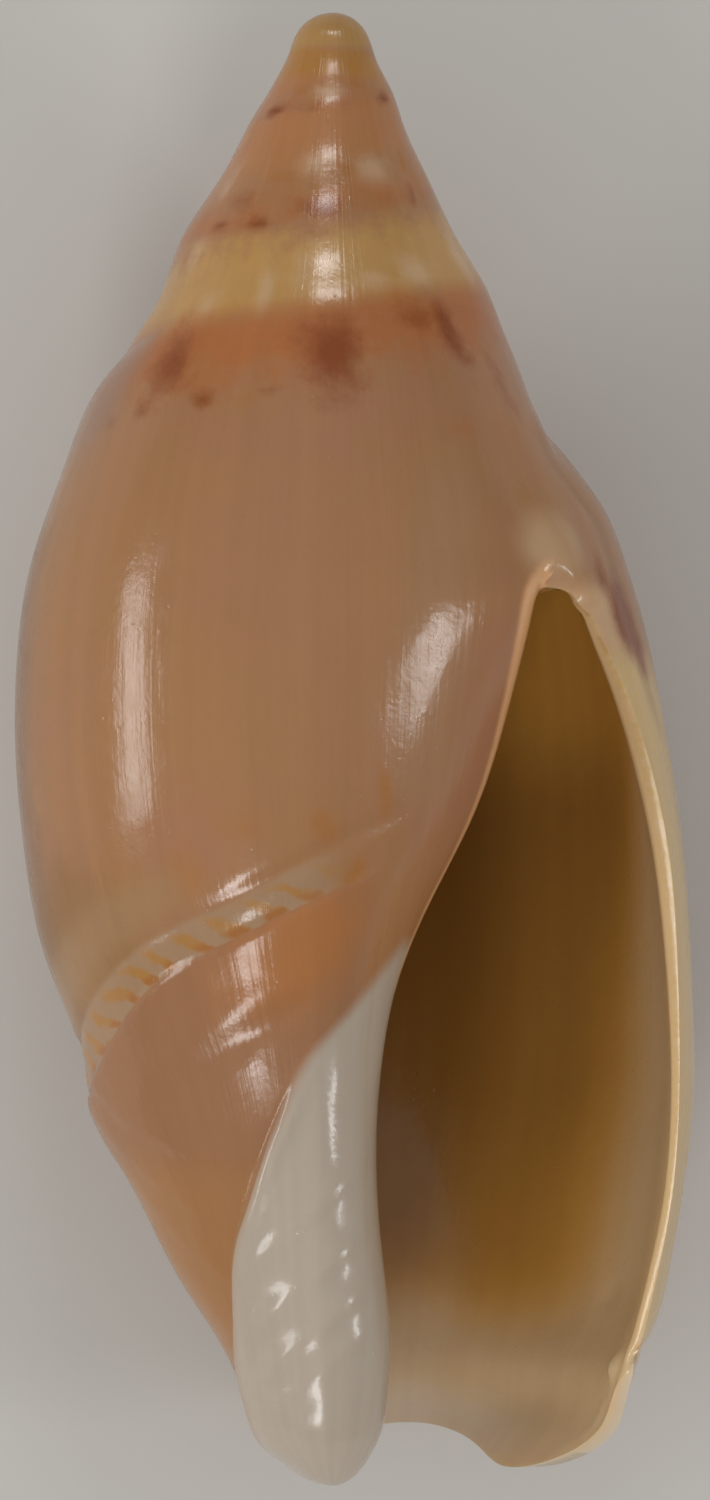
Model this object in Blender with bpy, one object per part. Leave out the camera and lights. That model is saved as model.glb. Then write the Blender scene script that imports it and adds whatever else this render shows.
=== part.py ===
"""The shell of an ancillid sea snail, lying on its back with its opening upwards.

The shell is one grown piece, so it is one solid. It is lofted along its coiling axis: a closed outer
wall from the apex down to the upper corner of the opening, and below it an open wall that ends in
the outer lip on the right and in the columella on the left, with the hollow of the last whorl inside.
Sizes are in millimetres, and turn into metres where the mesh is made.
"""

import math

import bmesh
import bpy
import numpy as np

MM = 0.001

# Driving dimensions. A station is a distance from the apex along the coiling axis.
LENGTH = 36.0
AXIS_X = -0.54
CORNER = 14.1
ARCH_HEIGHT = 0.45
DOME_HEIGHT = 0.9
TIP_START = 34.2
REST_CUT = 0.2

# Angles go round the axis, seen from the apex end: 0 is right, 90 the viewer's side, 180 left, 270 the back.
SIDE_ANGLES = (90, 135, 180, 270, 360)
CORNER_SHARE = 0.2
TIP_ANGLE = 262.0

# How finely the surface is divided.
DOME_ROWS = 5
RING_ROWS = 17
ARCH_ROWS = 4
OPEN_ROWS = 24
TIP_ROWS = 5
CEILING_ROWS = 6
PILLAR_COLUMNS = 28
RIM_COLUMNS = 22

# Distance of the outer surface from the axis, as (station, radius), on the four sides of the shell.
RIGHT_SIDE = [
    (0.0, 0.93), (0.9, 0.98), (1.8, 1.38), (3.6, 2.08), (4.8, 2.69), (6.05, 3.35), (7.25, 3.94), (8.5, 4.5),
    (9.7, 4.94), (10.9, 5.75), (12.15, 6.63), (13.4, 7.14), (14.6, 7.51), (17.05, 8.05), (19.5, 8.44),
    (22.0, 8.68), (24.4, 8.8), (26.2, 8.83), (28.05, 8.66), (30.5, 8.27), (32.3, 7.75), (33.1, 7.34), (34.2, 7.04), (36.0, 6.0),
]
FRONT_SIDE = [
    (0.0, 0.95), (0.9, 1.0), (1.8, 1.45), (3.6, 2.3), (6.05, 3.6), (8.5, 4.65), (10.9, 5.48), (13.4, 6.04),
    (15.8, 6.25), (18.3, 6.05), (20.7, 5.42), (23.2, 4.3), (25.6, 3.32), (28.0, 2.9), (30.5, 2.75),
    (32.9, 2.4), (34.2, 1.95), (36.0, 1.3),
]
FRONT_LEFT_SIDE = [
    (0.0, 0.97), (0.9, 1.02), (1.8, 1.48), (3.6, 2.42), (6.05, 3.78), (8.0, 4.65), (9.4, 5.3), (10.9, 5.95),
    (13.4, 6.68), (15.8, 6.96), (18.3, 6.9), (20.7, 6.45), (23.2, 5.55), (25.6, 4.5), (28.0, 3.5), (30.5, 2.75),
    (32.9, 2.15), (34.2, 1.85), (36.0, 1.35),
]
LEFT_SIDE = [
    (0.0, 1.0), (0.9, 1.04), (1.8, 1.5), (3.6, 2.52), (6.05, 3.92), (7.8, 4.72), (9.1, 5.7), (10.9, 6.5),
    (13.4, 7.36), (15.8, 7.72), (18.3, 7.74), (20.7, 7.5), (23.2, 6.95), (25.6, 6.04), (26.8, 5.75),
    (28.6, 4.75), (31.1, 3.45), (32.9, 2.35), (34.2, 1.86), (36.0, 1.4),
]
BACK_SIDE = [
    (0.0, 0.95), (0.9, 1.0), (1.8, 1.45), (3.6, 2.32), (6.05, 3.68), (8.5, 4.8), (10.1, 6.0), (12.15, 7.0),
    (14.6, 7.65), (17.0, 7.87), (19.5, 7.77), (22.0, 7.45), (24.4, 6.95), (28.0, 5.9), (31.7, 4.75),
    (34.2, 4.05), (36.0, 3.6),
]

# The edge of the outer lip, and the line where the inner lip turns over, as (station, right of the axis, up).
# Above the corner of the opening the same two lines run on over the shoulder to the apex.
LIP_LINE = [
    (0.0, 0.81, 0.47), (0.9, 0.86, 0.5), (1.8, 1.21, 0.7), (3.6, 1.86, 1.07), (6.05, 2.96, 1.71), (8.5, 3.9, 2.25),
    (10.9, 4.78, 2.76), (12.5, 5.48, 3.2), (13.4, 5.78, 3.42), (14.1, 6.0, 3.5), (14.75, 6.24, 3.46),
    (15.75, 6.7, 3.3), (16.7, 7.12, 3.15), (18.2, 7.62, 3.05), (20.2, 8.08, 2.95), (22.95, 8.33, 2.8),
    (24.9, 8.39, 2.7), (27.0, 8.37, 2.55), (29.2, 8.17, 2.3), (30.7, 7.88, 2.15), (32.35, 7.5, 1.9), (33.1, 7.3, 1.75),
]
INNER_LINE = [
    (0.0, 0.7, 0.62), (0.9, 0.75, 0.66), (1.8, 1.05, 0.93), (3.6, 1.6, 1.42), (6.05, 2.55, 2.27), (8.5, 3.36, 2.98),
    (10.9, 4.03, 3.6), (12.5, 4.46, 3.95), (13.4, 4.66, 3.98), (14.1, 4.84, 3.82), (14.75, 4.8, 3.66),
    (15.75, 4.57, 3.36), (17.7, 4.04, 2.75), (19.6, 3.35, 2.25), (21.6, 2.32, 1.8), (23.5, 1.52, 1.45),
    (25.5, 1.15, 1.3), (27.5, 1.03, 1.3), (30.4, 1.2, 1.3), (32.5, 1.37, 1.1), (34.0, 1.25, 0.8), (36.0, 1.0, 0.5),
]
EDGE_ROLL = 0.26
ROLL_WIDTH = 0.7

# Lines that wind round the shell, as (angle, station): the edge of the last whorl below the spire, the groove
# above the banded strip, and the ledge below it where the thick callus of the front end begins.
SUTURE = [(120, 6.6), (150, 7.6), (180, 8.35), (225, 8.9), (270, 9.35), (315, 9.8), (360, 10.3), (385, 11.6)]
BAND_GROOVE = [(60, 19.0), (90, 20.3), (118, 21.7), (140, 22.6), (160, 23.8), (180, 25.0), (270, 29.0), (315, 31.0), (374, 32.8)]
CALLUS_LEDGE = [
    (60, 20.2), (80, 21.0), (99, 21.8), (117, 22.6), (140, 23.65), (154, 24.6), (170, 25.7), (180, 26.3), (225, 28.9),
    (270, 31.2), (300, 33.0), (330, 35.3),
]
# The left edge of the columella's white pillar, as (station, right of the axis), and its slanting folds.
PILLAR_EDGE = [
    (23.5, 1.0), (24.2, 0.44), (25.5, -0.64), (26.8, -1.2), (28.0, -1.72), (29.1, -2.08), (29.9, -2.35),
    (30.85, -2.44), (32.0, -2.38), (33.2, -2.23), (34.0, -1.98), (36.0, -1.4),
]
PILLAR_HEIGHT = 0.3
LEDGE_HEIGHT = 0.13
GROOVE_DEPTH = 0.07
SUTURE_DEPTH = 0.09
BULGE_ANGLE = 35.0
BULGE_STATION = 13.1
BULGE_HEIGHT = 0.2
BULGE_WIDTH = 1.0

# Where the rim of the front end runs, as (angle, station).
RIM_STATIONS = [
    (262.0, 36.0), (270.0, 35.5), (279.0, 34.95), (290.0, 34.72), (302.0, 34.72), (316.0, 35.05), (330.0, 35.55),
    (342.0, 35.65), (352.0, 35.35), (361.0, 34.8), (369.0, 34.0), (374.0, 33.1),
]

# The hollow: how far round it reaches, how thick the wall is, and the core that it winds round.
HOLLOW_END = [(14.1, 150.0), (24.0, 155.0), (28.0, 185.0), (32.0, 232.0), (36.0, 262.0)]
CORE_SIDES = [(0.0, 0.93), (-90.0, 0.84), (-180.0, 0.78), (-215.0, 0.76)]
WALL = 0.95
LIP_WALL = [(14.1, 0.34), (15.75, 0.45), (21.5, 0.45), (24.0, 0.34), (33.0, 0.34), (36.0, 0.4)]
LIP_ROUND = 0.3
NARROWEST = 0.06
EDGE_STEP = 0.3
TINY = 1e-6
CEILING = [(150.0, 10.9), (180.0, 10.9), (270.0, 11.7), (340.0, 12.9), (397.0, 14.1)]


def curve(points):
    """A function through (place, value) points: a natural cubic spline, straight beyond its ends."""
    xs, ys = np.array(points, float).T
    h = np.diff(xs)
    slope = np.diff(ys) / h
    n = len(xs)
    system = np.eye(n)
    right = np.zeros(n)
    for i in range(1, n - 1):
        system[i, i - 1 : i + 2] = h[i - 1], 2 * (h[i - 1] + h[i]), h[i]
        right[i] = 6 * (slope[i] - slope[i - 1])
    bend = np.linalg.solve(system, right)

    def value(x):
        x = np.asarray(x, float)
        i = np.clip(np.searchsorted(xs, x) - 1, 0, n - 2)
        a = (xs[i + 1] - x) / h[i]
        b = 1 - a
        cubic = ((a**3 - a) * bend[i] + (b**3 - b) * bend[i + 1]) * h[i] ** 2 / 6
        inside = (a >= 0) & (b >= 0)
        return a * ys[i] + b * ys[i + 1] + np.where(inside, cubic, 0)

    return value


def ease(x):
    """0 below 0, 1 above 1, and a smooth S between."""
    x = np.clip(x, 0.0, 1.0)
    return x * x * (3 - 2 * x)


def spline_round(theta, knots, radii, first_slope, last_slope):
    """Radius at each angle, on a cubic spline of its own through that place's knots (angles in degrees)."""
    at = np.radians(knots)
    x = np.radians(theta)
    h = np.diff(at, axis=-1)
    slope = np.diff(radii, axis=-1) / h
    n = at.shape[-1]
    system = np.zeros(at.shape + (n,))
    right = np.zeros(at.shape)
    system[..., 0, 0], system[..., 0, 1] = 2 * h[..., 0], h[..., 0]
    right[..., 0] = 6 * (slope[..., 0] - first_slope)
    system[..., -1, -1], system[..., -1, -2] = 2 * h[..., -1], h[..., -1]
    right[..., -1] = 6 * (last_slope - slope[..., -1])
    for i in range(1, n - 1):
        system[..., i, i - 1] = h[..., i - 1]
        system[..., i, i] = 2 * (h[..., i - 1] + h[..., i])
        system[..., i, i + 1] = h[..., i]
        right[..., i] = 6 * (slope[..., i] - slope[..., i - 1])
    bend = np.linalg.solve(system, right[..., None])[..., 0]
    i = np.clip((x[..., None] > at).sum(axis=-1) - 1, 0, n - 2)[..., None]

    def pick(values, step=0):
        return np.take_along_axis(values, i + step, axis=-1)[..., 0]

    width = pick(h)
    a = (pick(at, 1) - x) / width
    b = 1 - a
    cubic = ((a**3 - a) * pick(bend) + (b**3 - b) * pick(bend, 1)) * width**2 / 6
    return a * pick(radii) + b * pick(radii, 1) + cubic


sides = [curve(side) for side in (FRONT_SIDE, FRONT_LEFT_SIDE, LEFT_SIDE, BACK_SIDE, RIGHT_SIDE)]
suture, band_groove, callus_ledge, pillar_edge = map(curve, (SUTURE, BAND_GROOVE, CALLUS_LEDGE, PILLAR_EDGE))
rim_station, hollow_end, ceiling, lip_wall = map(curve, (RIM_STATIONS, HOLLOW_END, CEILING, LIP_WALL))
lip_x, lip_z = curve([p[:2] for p in LIP_LINE]), curve([(p[0], p[2]) for p in LIP_LINE])
inner_x, inner_z = curve([p[:2] for p in INNER_LINE]), curve([(p[0], p[2]) for p in INNER_LINE])


def quarter_round(x):
    """A quarter circle: 0 below 0, rising steeply at first, and level at 1 and beyond."""
    return np.sqrt(1 - np.clip(1 - x, 0, 1) ** 2)


def edge(x, z, station):
    """Angle and radius of one of the two edge lines at a station."""
    across, up = x(station), z(station)
    return np.degrees(np.arctan2(up, across)), np.hypot(across, up)


def opening_sides(station):
    """Angles of the inner lip, of the outer lip, and of the line between them where the arch has its top."""
    inner, _ = edge(inner_x, inner_z, np.maximum(station, CORNER + ARCH_HEIGHT))
    lip, _ = edge(lip_x, lip_z, np.maximum(station, CORNER + ARCH_HEIGHT))
    return inner, lip, inner + CORNER_SHARE * (lip - inner)


def opening_angles(station):
    """Where the outer surface begins and ends: one line above the corner, then an arch, then the two lips."""
    inner, lip, top = opening_sides(station)
    spread = quarter_round((station - CORNER) / ARCH_HEIGHT)
    return top + (inner - top) * spread, top + (lip - top) * spread + 360


def tip_cap(station):
    """Rounds off the front end of the columella."""
    return quarter_round((LENGTH - station) / (LENGTH - TIP_START))


def bridge(theta, lip_angle, inner_angle, radii, slopes):
    """Radius across the gap between the two edge lines, and how far across it each angle is."""
    gap = inner_angle - lip_angle
    t = (np.where(theta < 180, theta + 360, theta) - lip_angle - 360) / gap
    left, right = (slope * np.radians(gap) for slope in slopes)
    risen = ease(t)
    return radii[0] * (1 - risen) + radii[1] * risen + left * t * (1 - t) ** 2 - right * t**2 * (1 - t), t


def outer_radius(theta, station):
    """Distance of the outer surface from the axis, before its relief."""
    lip_angle, lip_radius = edge(lip_x, lip_z, station)
    inner_angle, inner_radius = edge(inner_x, inner_z, station)
    inner_radius = inner_radius + EDGE_ROLL * ease((station - CORNER + 1.1) / 1.5)
    around = [side(station) for side in sides]
    first_slope = (around[0] - inner_radius) / np.radians(SIDE_ANGLES[0] - inner_angle)
    last_slope = (lip_radius - around[-1]) / np.radians(lip_angle)
    fixed = [np.full_like(inner_angle, angle) for angle in SIDE_ANGLES]
    knots = np.stack([inner_angle, *fixed, lip_angle + 360], -1)
    radii = np.stack([inner_radius, *around, lip_radius], -1)
    radius = spline_round(theta, knots, radii, first_slope, last_slope)
    across, t = bridge(theta, lip_angle, inner_angle, (lip_radius, inner_radius), (last_slope, first_slope))
    radius = np.where((t > 0) & (t < 1), across, radius)
    capped = 1 - ease((theta - TIP_ANGLE) / 30)
    return radius * quarter_round(station / DOME_HEIGHT) * (1 - capped * (1 - tip_cap(station)))


def beside(theta, station, line, radius):
    """Distance across the surface from a winding line, positive on its front side."""
    rise = (line(theta + 1) - line(theta - 1)) / np.radians(2) / np.maximum(radius, 1)
    return (station - line(theta)) / np.hypot(1, rise)


def from_edges(theta, station, radius):
    """Distances across the surface from the edges of the inner lip and of the outer lip, round the arch too."""
    inner, lip, top = opening_sides(station)
    above = np.maximum(CORNER + ARCH_HEIGHT - station, 0)
    found = []
    for turned, half_width in ((theta - top, inner - top), (top + 360 - theta, top - lip)):
        across, half = np.radians(turned) * radius, np.maximum(np.radians(half_width) * radius, TINY)
        share = np.maximum(np.hypot(across / half, above / ARCH_HEIGHT), TINY)
        found.append(np.hypot(across, above) * (1 - 1 / share))
    return found


def relief(theta, station, radius):
    """Height of the ledges, grooves and raised callus above the plain outer surface."""
    across = beside(theta, station, suture, radius)
    height = -SUTURE_DEPTH * np.exp(-((across / 0.35) ** 2)) * ease((theta - 130) / 40) * ease((384 - theta) / 20)
    across = beside(theta, station, band_groove, radius)
    height = height - GROOVE_DEPTH * np.exp(-((across / 0.2) ** 2)) * ease((theta - 60) / 25)
    across = beside(theta, station, callus_ledge, radius)
    callus = ease(across / 0.3 + 0.5) * ease((theta - 68) / 30) * ease((LENGTH - station) / 2)
    height = height + LEDGE_HEIGHT * callus
    across = radius * np.cos(np.radians(theta)) - pillar_edge(station)
    raised = ease(across / 0.3 + 0.5) * (theta < 185) * ease((station - 24) / 4.5)
    return height + PILLAR_HEIGHT * raised * ease((LENGTH - station) / 1.5)


def bulge(theta, station, radius):
    """The swelling where the outer lip joins the shoulder."""
    turned = np.radians((theta - BULGE_ANGLE + 180) % 360 - 180) * radius
    return BULGE_HEIGHT * np.exp(-(turned**2 + (station - BULGE_STATION) ** 2) / BULGE_WIDTH**2)


def surface_radius(theta, station):
    """Distance of the finished outer surface from the axis, with its relief and its rolled edges."""
    radius = outer_radius(theta, station)
    from_inner, from_lip = from_edges(theta, station, radius)
    height = relief(theta, station, radius) * ease(from_inner / 1.2) * ease(from_lip / 0.8)
    nearest = np.minimum(from_inner, from_lip + 2 * np.maximum(station - CORNER - ARCH_HEIGHT, 0))
    rolled = EDGE_ROLL * np.clip(1 - nearest / ROLL_WIDTH, 0, 1) ** 2 * tip_cap(station)
    return radius + height + bulge(theta, station, radius) - rolled


def core_radius(theta, station):
    """Distance from the axis of the surface that the hollow winds round, from the inner lip inwards."""
    angle, _ = opening_angles(station)
    radius = surface_radius(angle, station)
    width = inner_x(station)
    knots = np.stack([-angle] + [np.full_like(angle, -a) for a, _ in CORE_SIDES], -1)
    radii = np.stack([radius] + [share * width * tip_cap(station) for _, share in CORE_SIDES], -1)
    slope = (radius - surface_radius(angle + EDGE_STEP, station)) / np.radians(EDGE_STEP)
    return spline_round(-theta, knots, radii, slope, np.zeros_like(slope))


def wall(theta, station, radius):
    """Thickness of the wall: thinner towards the lip and the front rim, and rounded off at the lip's edge."""
    _, lip_angle = opening_angles(station)
    _, from_lip = from_edges(theta, station, radius)
    thin = lip_wall(station)
    thick = thin + (WALL - thin) * ease((lip_angle - theta) / 35) * (1 - 0.45 * ease((station - 31.5) / 3.5))
    return thick * quarter_round(from_lip / LIP_ROUND)


def place(theta, radius, station):
    """Points in the shell's frame: x right, y towards the apex, z up, from angle, radius and station."""
    angle = np.radians(theta)
    return np.stack([AXIS_X + radius * np.cos(angle), LENGTH / 2 - station, radius * np.sin(angle)], -1)


def outer_columns(station_row):
    """Angles of the outer surface's columns on a row, from the inner lip round to the outer lip."""
    start, _ = opening_angles(station_row[:, :1])
    _, end = opening_angles(station_row[:, -1:])
    pillar = np.linspace(0, 1, PILLAR_COLUMNS + 1)
    return np.concatenate([start + (TIP_ANGLE - start) * pillar, TIP_ANGLE + (end - TIP_ANGLE) * rim_shares()], axis=1)


def rim_shares():
    """Places of the columns between the columella's tip and the outer lip, closer together towards the lip."""
    return 1 - (1 - np.linspace(0, 1, RIM_COLUMNS + 1)[1:]) ** 1.5


def end_stations():
    """Where each outer column ends: at the columella's tip, or on the rim."""
    rim = TIP_ANGLE + (RIM_STATIONS[-1][0] - TIP_ANGLE) * rim_shares()
    return np.concatenate([np.full(PILLAR_COLUMNS + 1, LENGTH), rim_station(rim)])


def open_rows():
    """Shares of the way from the corner of the opening to the front end, closer together at both ends."""
    arch, tip = ARCH_HEIGHT / (LENGTH - CORNER), (TIP_START - CORNER) / (LENGTH - CORNER)
    first = arch * (np.arange(ARCH_ROWS) / ARCH_ROWS) ** 2
    plain = arch + (tip - arch) * np.arange(OPEN_ROWS) / OPEN_ROWS
    last = tip + (1 - tip) * np.sin(np.linspace(0, np.pi / 2, TIP_ROWS + 1))
    return np.concatenate([first, plain, last])[:, None]


def closed_wall():
    """The spire and the shoulder, from the apex to the corner of the opening."""
    dome = DOME_HEIGHT * (1 - np.cos(np.pi / 2 * np.arange(DOME_ROWS) / DOME_ROWS))
    rest = DOME_HEIGHT + (CORNER - DOME_HEIGHT) * np.linspace(0, 1, RING_ROWS + 1)
    station = np.repeat(np.concatenate([dome, rest])[:, None], PILLAR_COLUMNS + RIM_COLUMNS + 1, axis=1)
    theta = outer_columns(station)
    return place(theta, surface_radius(theta, station), station)


def open_wall():
    """The outer surface from the corner of the opening to the front end."""
    station = CORNER + open_rows() * (end_stations()[None, :] - CORNER)
    theta = outer_columns(station)
    return place(theta, surface_radius(theta, station), station)


def hollow(theta, station, end_angle):
    """Radii half-way across the hollow, and half its width, which is nothing at its far end."""
    surface = surface_radius(theta, station)
    plain = outer_radius(theta, station)
    _, lip_angle = opening_angles(station)
    outside = surface + (plain - surface) * ease((lip_angle - theta) / 10)
    outside = outside - wall(theta, station, plain) * np.clip(plain / 3, 0, 1)
    inside = core_radius(theta - 360, station)
    half = np.maximum((outside - inside) / 2, NARROWEST * np.clip((lip_angle - theta) / 3, 0, 1))
    return (outside + inside) / 2, half * quarter_round((theta - end_angle) / 30)


def open_hollow():
    """The wall of the hollow beside the opening: from the lip inwards, round its end, and back to the inner lip."""
    rows = open_rows()
    ends = end_stations()[PILLAR_COLUMNS:][::-1]
    station = CORNER + rows * (ends[None, :] - CORNER)
    _, start = opening_angles(station[:, :1])
    end = hollow_end(CORNER + rows * (LENGTH - CORNER))
    steps = hollow_steps()
    theta = start + (end - start) * steps
    middle, half = hollow(theta, station, end)
    outside = place(theta, middle + half, station)
    station = np.repeat(CORNER + rows * (LENGTH - CORNER), RIM_COLUMNS + 1, axis=1)
    start, _ = opening_angles(station[:, :1])
    theta = end - 360 + (start - end + 360) * (1 - steps[:, ::-1])
    middle, half = hollow(theta + 360, station, end)
    radius = np.where(theta < start, middle - half, surface_radius(theta, station))
    radius[-1] = 0
    return outside, place(theta, radius, station)


def hollow_steps():
    """Places of the hollow's columns from the lip to its far end, which match the rim's."""
    return np.concatenate([1 - rim_shares()[::-1], [1.0]])[None, :]


def hollow_ceiling():
    """The upper end of the hollow, above the corner of the opening, where its two walls close together."""
    rows = np.linspace(0, 1, CEILING_ROWS + 1)[:, None]
    end = hollow_end(CORNER)
    start = opening_angles(CORNER)[1] - 70 * ease(rows)
    theta = start + (end - start) * hollow_steps()
    station = CORNER + rows * (ceiling(theta) - CORNER)
    middle, half = hollow(theta, station, end)
    half = half * np.sqrt(1 - rows**2) * np.where(rows > 0, quarter_round((start - theta) / 25), 1.0)
    return place(theta, middle + half, station), place(theta, middle - half, station)


def add_patch(mesh, points):
    """Adds a grid of points as faces."""
    verts = [[mesh.verts.new(point * MM) for point in row] for row in points]
    for upper, lower in zip(verts, verts[1:]):
        for i in range(len(upper) - 1):
            mesh.faces.new((upper[i], lower[i], lower[i + 1], upper[i + 1]))


def lofted_shell():
    """All the surfaces of the shell, sewn along their shared edges."""
    mesh = bmesh.new()
    outer = open_wall()
    outside, inside = open_hollow()
    above_outside, above_inside = hollow_ceiling()
    rim = np.stack([outer[-1, PILLAR_COLUMNS:], outside[-1, ::-1]])
    for points in (closed_wall(), outer, outside, inside, above_outside, above_inside, rim):
        add_patch(mesh, points)
    bmesh.ops.remove_doubles(mesh, verts=mesh.verts, dist=2e-6)
    bmesh.ops.recalc_face_normals(mesh, faces=mesh.faces)
    return mesh


def cut_flat(mesh, depth):
    """Takes a thin slice off the back, which leaves the flat spot that the shell rests on."""
    lowest = min(vert.co.z for vert in mesh.verts) + depth * MM
    geometry = mesh.verts[:] + mesh.edges[:] + mesh.faces[:]
    cut = bmesh.ops.bisect_plane(
        mesh, geom=geometry, plane_co=(0, 0, lowest), plane_no=(0, 0, -1), clear_outer=True
    )
    edges = [part for part in cut["geom_cut"] if isinstance(part, bmesh.types.BMEdge)]
    bmesh.ops.contextual_create(mesh, geom=edges)
    bmesh.ops.translate(mesh, verts=mesh.verts, vec=(0, 0, -lowest))


def centre(mesh):
    """Moves the shell sideways and lengthways until its box is centred on the origin."""
    for axis in (0, 1):
        places = [vert.co[axis] for vert in mesh.verts]
        shift = [0.0, 0.0, 0.0]
        shift[axis] = -(min(places) + max(places)) / 2
        bmesh.ops.translate(mesh, verts=mesh.verts, vec=shift)


def shell_material():
    """Glossy porcelain-like callus over a pinkish tan shell."""
    material = bpy.data.materials.new("polished_callus")
    material.use_nodes = True
    surface = material.node_tree.nodes["Principled BSDF"]
    surface.inputs["Base Color"].default_value = (0.42, 0.23, 0.13, 1)
    surface.inputs["Roughness"].default_value = 0.25
    surface.inputs["Metallic"].default_value = 0.0
    return material


def clear_scene():
    for obj in list(bpy.data.objects):
        bpy.data.objects.remove(obj, do_unlink=True)


def build():
    clear_scene()
    collection = bpy.data.collections.new("amalda_obesa")
    bpy.context.scene.collection.children.link(collection)
    mesh = lofted_shell()
    cut_flat(mesh, REST_CUT)
    centre(mesh)
    data = bpy.data.meshes.new("shell")
    mesh.to_mesh(data)
    mesh.free()
    data.materials.append(shell_material())
    data.shade_smooth()
    data.set_sharp_from_angle(angle=math.radians(50))
    collection.objects.link(bpy.data.objects.new("shell", data))


build()
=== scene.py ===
"""The looks of one ancillid sea snail shell, lying on its back with its opening upwards."""

import math

import bpy
import mathutils
import numpy as np
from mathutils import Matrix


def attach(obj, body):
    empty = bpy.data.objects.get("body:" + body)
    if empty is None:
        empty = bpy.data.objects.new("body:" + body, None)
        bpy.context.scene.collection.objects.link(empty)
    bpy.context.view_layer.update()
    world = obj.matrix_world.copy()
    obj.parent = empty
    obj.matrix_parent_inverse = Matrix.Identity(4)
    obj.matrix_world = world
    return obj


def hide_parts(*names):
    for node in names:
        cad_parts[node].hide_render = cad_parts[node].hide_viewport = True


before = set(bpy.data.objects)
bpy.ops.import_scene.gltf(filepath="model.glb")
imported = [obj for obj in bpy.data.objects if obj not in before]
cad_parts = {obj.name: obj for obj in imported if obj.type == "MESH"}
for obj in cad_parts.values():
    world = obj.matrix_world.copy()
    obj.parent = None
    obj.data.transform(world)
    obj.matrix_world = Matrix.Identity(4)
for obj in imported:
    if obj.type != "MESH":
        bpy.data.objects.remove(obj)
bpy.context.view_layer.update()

MM = 0.001

# The wall, which the snail laid down as one piece of aragonite along a widening spiral. Its surface is a
# distance from the coiling axis, in mm, at each angle round it (0 right, 90 the viewer's side, 180 left, 270
# the back) and each station, which is the distance from the apex.
LENGTH = 36.0
CORNER = 14.1
DOME_HEIGHT = 0.9
TIP_START = 34.2
TIP_ANGLE = 262.0
TIP_FADE = 30.0

# Distance of the outer surface from the axis, as (station, radius), on five sides of the shell.
RIGHT_SIDE = [
    (0.0, 0.93), (0.9, 0.98), (1.8, 1.38), (3.6, 2.08), (4.8, 2.69), (6.05, 3.35), (7.25, 3.94), (8.5, 4.5),
    (9.7, 4.94), (10.9, 5.75), (12.15, 6.63), (13.4, 7.14), (14.6, 7.51), (17.05, 8.05), (19.5, 8.44),
    (22.0, 8.68), (24.4, 8.8), (26.2, 8.83), (28.05, 8.66), (30.5, 8.27), (32.3, 7.75), (33.1, 7.34),
    (34.2, 7.04), (36.0, 6.0),
]
FRONT_SIDE = [
    (0.0, 0.95), (0.9, 1.0), (1.8, 1.45), (3.6, 2.3), (6.05, 3.6), (8.5, 4.65), (10.9, 5.48), (13.4, 6.04),
    (15.8, 6.25), (18.3, 6.05), (20.7, 5.42), (23.2, 4.3), (25.6, 3.32), (28.0, 2.9), (30.5, 2.75),
    (32.9, 2.4), (34.2, 1.95), (36.0, 1.3),
]
FRONT_LEFT_SIDE = [
    (0.0, 0.97), (0.9, 1.02), (1.8, 1.48), (3.6, 2.42), (6.05, 3.78), (8.0, 4.65), (9.4, 5.3),
    (10.9, 5.95), (13.4, 6.68), (15.8, 6.96), (18.3, 6.9), (20.7, 6.45), (23.2, 5.55), (25.6, 4.5),
    (28.0, 3.5), (30.5, 2.75), (32.9, 2.15), (34.2, 1.85), (36.0, 1.35),
]
LEFT_SIDE = [
    (0.0, 1.0), (0.9, 1.04), (1.8, 1.5), (3.6, 2.52), (6.05, 3.92), (7.8, 4.72), (9.1, 5.7), (10.9, 6.5),
    (13.4, 7.36), (15.8, 7.72), (18.3, 7.74), (20.7, 7.5), (23.2, 6.95), (25.6, 6.04), (26.8, 5.75),
    (28.6, 4.75), (31.1, 3.45), (32.9, 2.35), (34.2, 1.86), (36.0, 1.4),
]
BACK_SIDE = [
    (0.0, 0.95), (0.9, 1.0), (1.8, 1.45), (3.6, 2.32), (6.05, 3.68), (8.5, 4.8), (10.1, 6.0), (12.15, 7.0),
    (14.6, 7.65), (17.0, 7.87), (19.5, 7.77), (22.0, 7.45), (24.4, 6.95), (28.0, 5.9), (31.7, 4.75),
    (34.2, 4.05), (36.0, 3.6),
]

# The edge of the outer lip and the line where the inner lip turns over, as (station, right, up) of the axis.
# Above the corner of the opening the same two lines run on over the shoulder to the apex.
LIP_LINE = [
    (0.0, 0.81, 0.47), (0.9, 0.86, 0.5), (1.8, 1.21, 0.7), (3.6, 1.86, 1.07), (6.05, 2.96, 1.71),
    (8.5, 3.9, 2.25), (10.9, 4.78, 2.76), (12.5, 5.48, 3.2), (13.4, 5.78, 3.42), (14.1, 6.0, 3.5),
    (14.75, 6.24, 3.46), (15.75, 6.7, 3.3), (16.7, 7.12, 3.15), (18.2, 7.62, 3.05), (20.2, 8.08, 2.95),
    (22.95, 8.33, 2.8), (24.9, 8.39, 2.7), (27.0, 8.37, 2.55), (29.2, 8.17, 2.3), (30.7, 7.88, 2.15),
    (32.35, 7.5, 1.9), (33.1, 7.3, 1.75),
]
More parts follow.
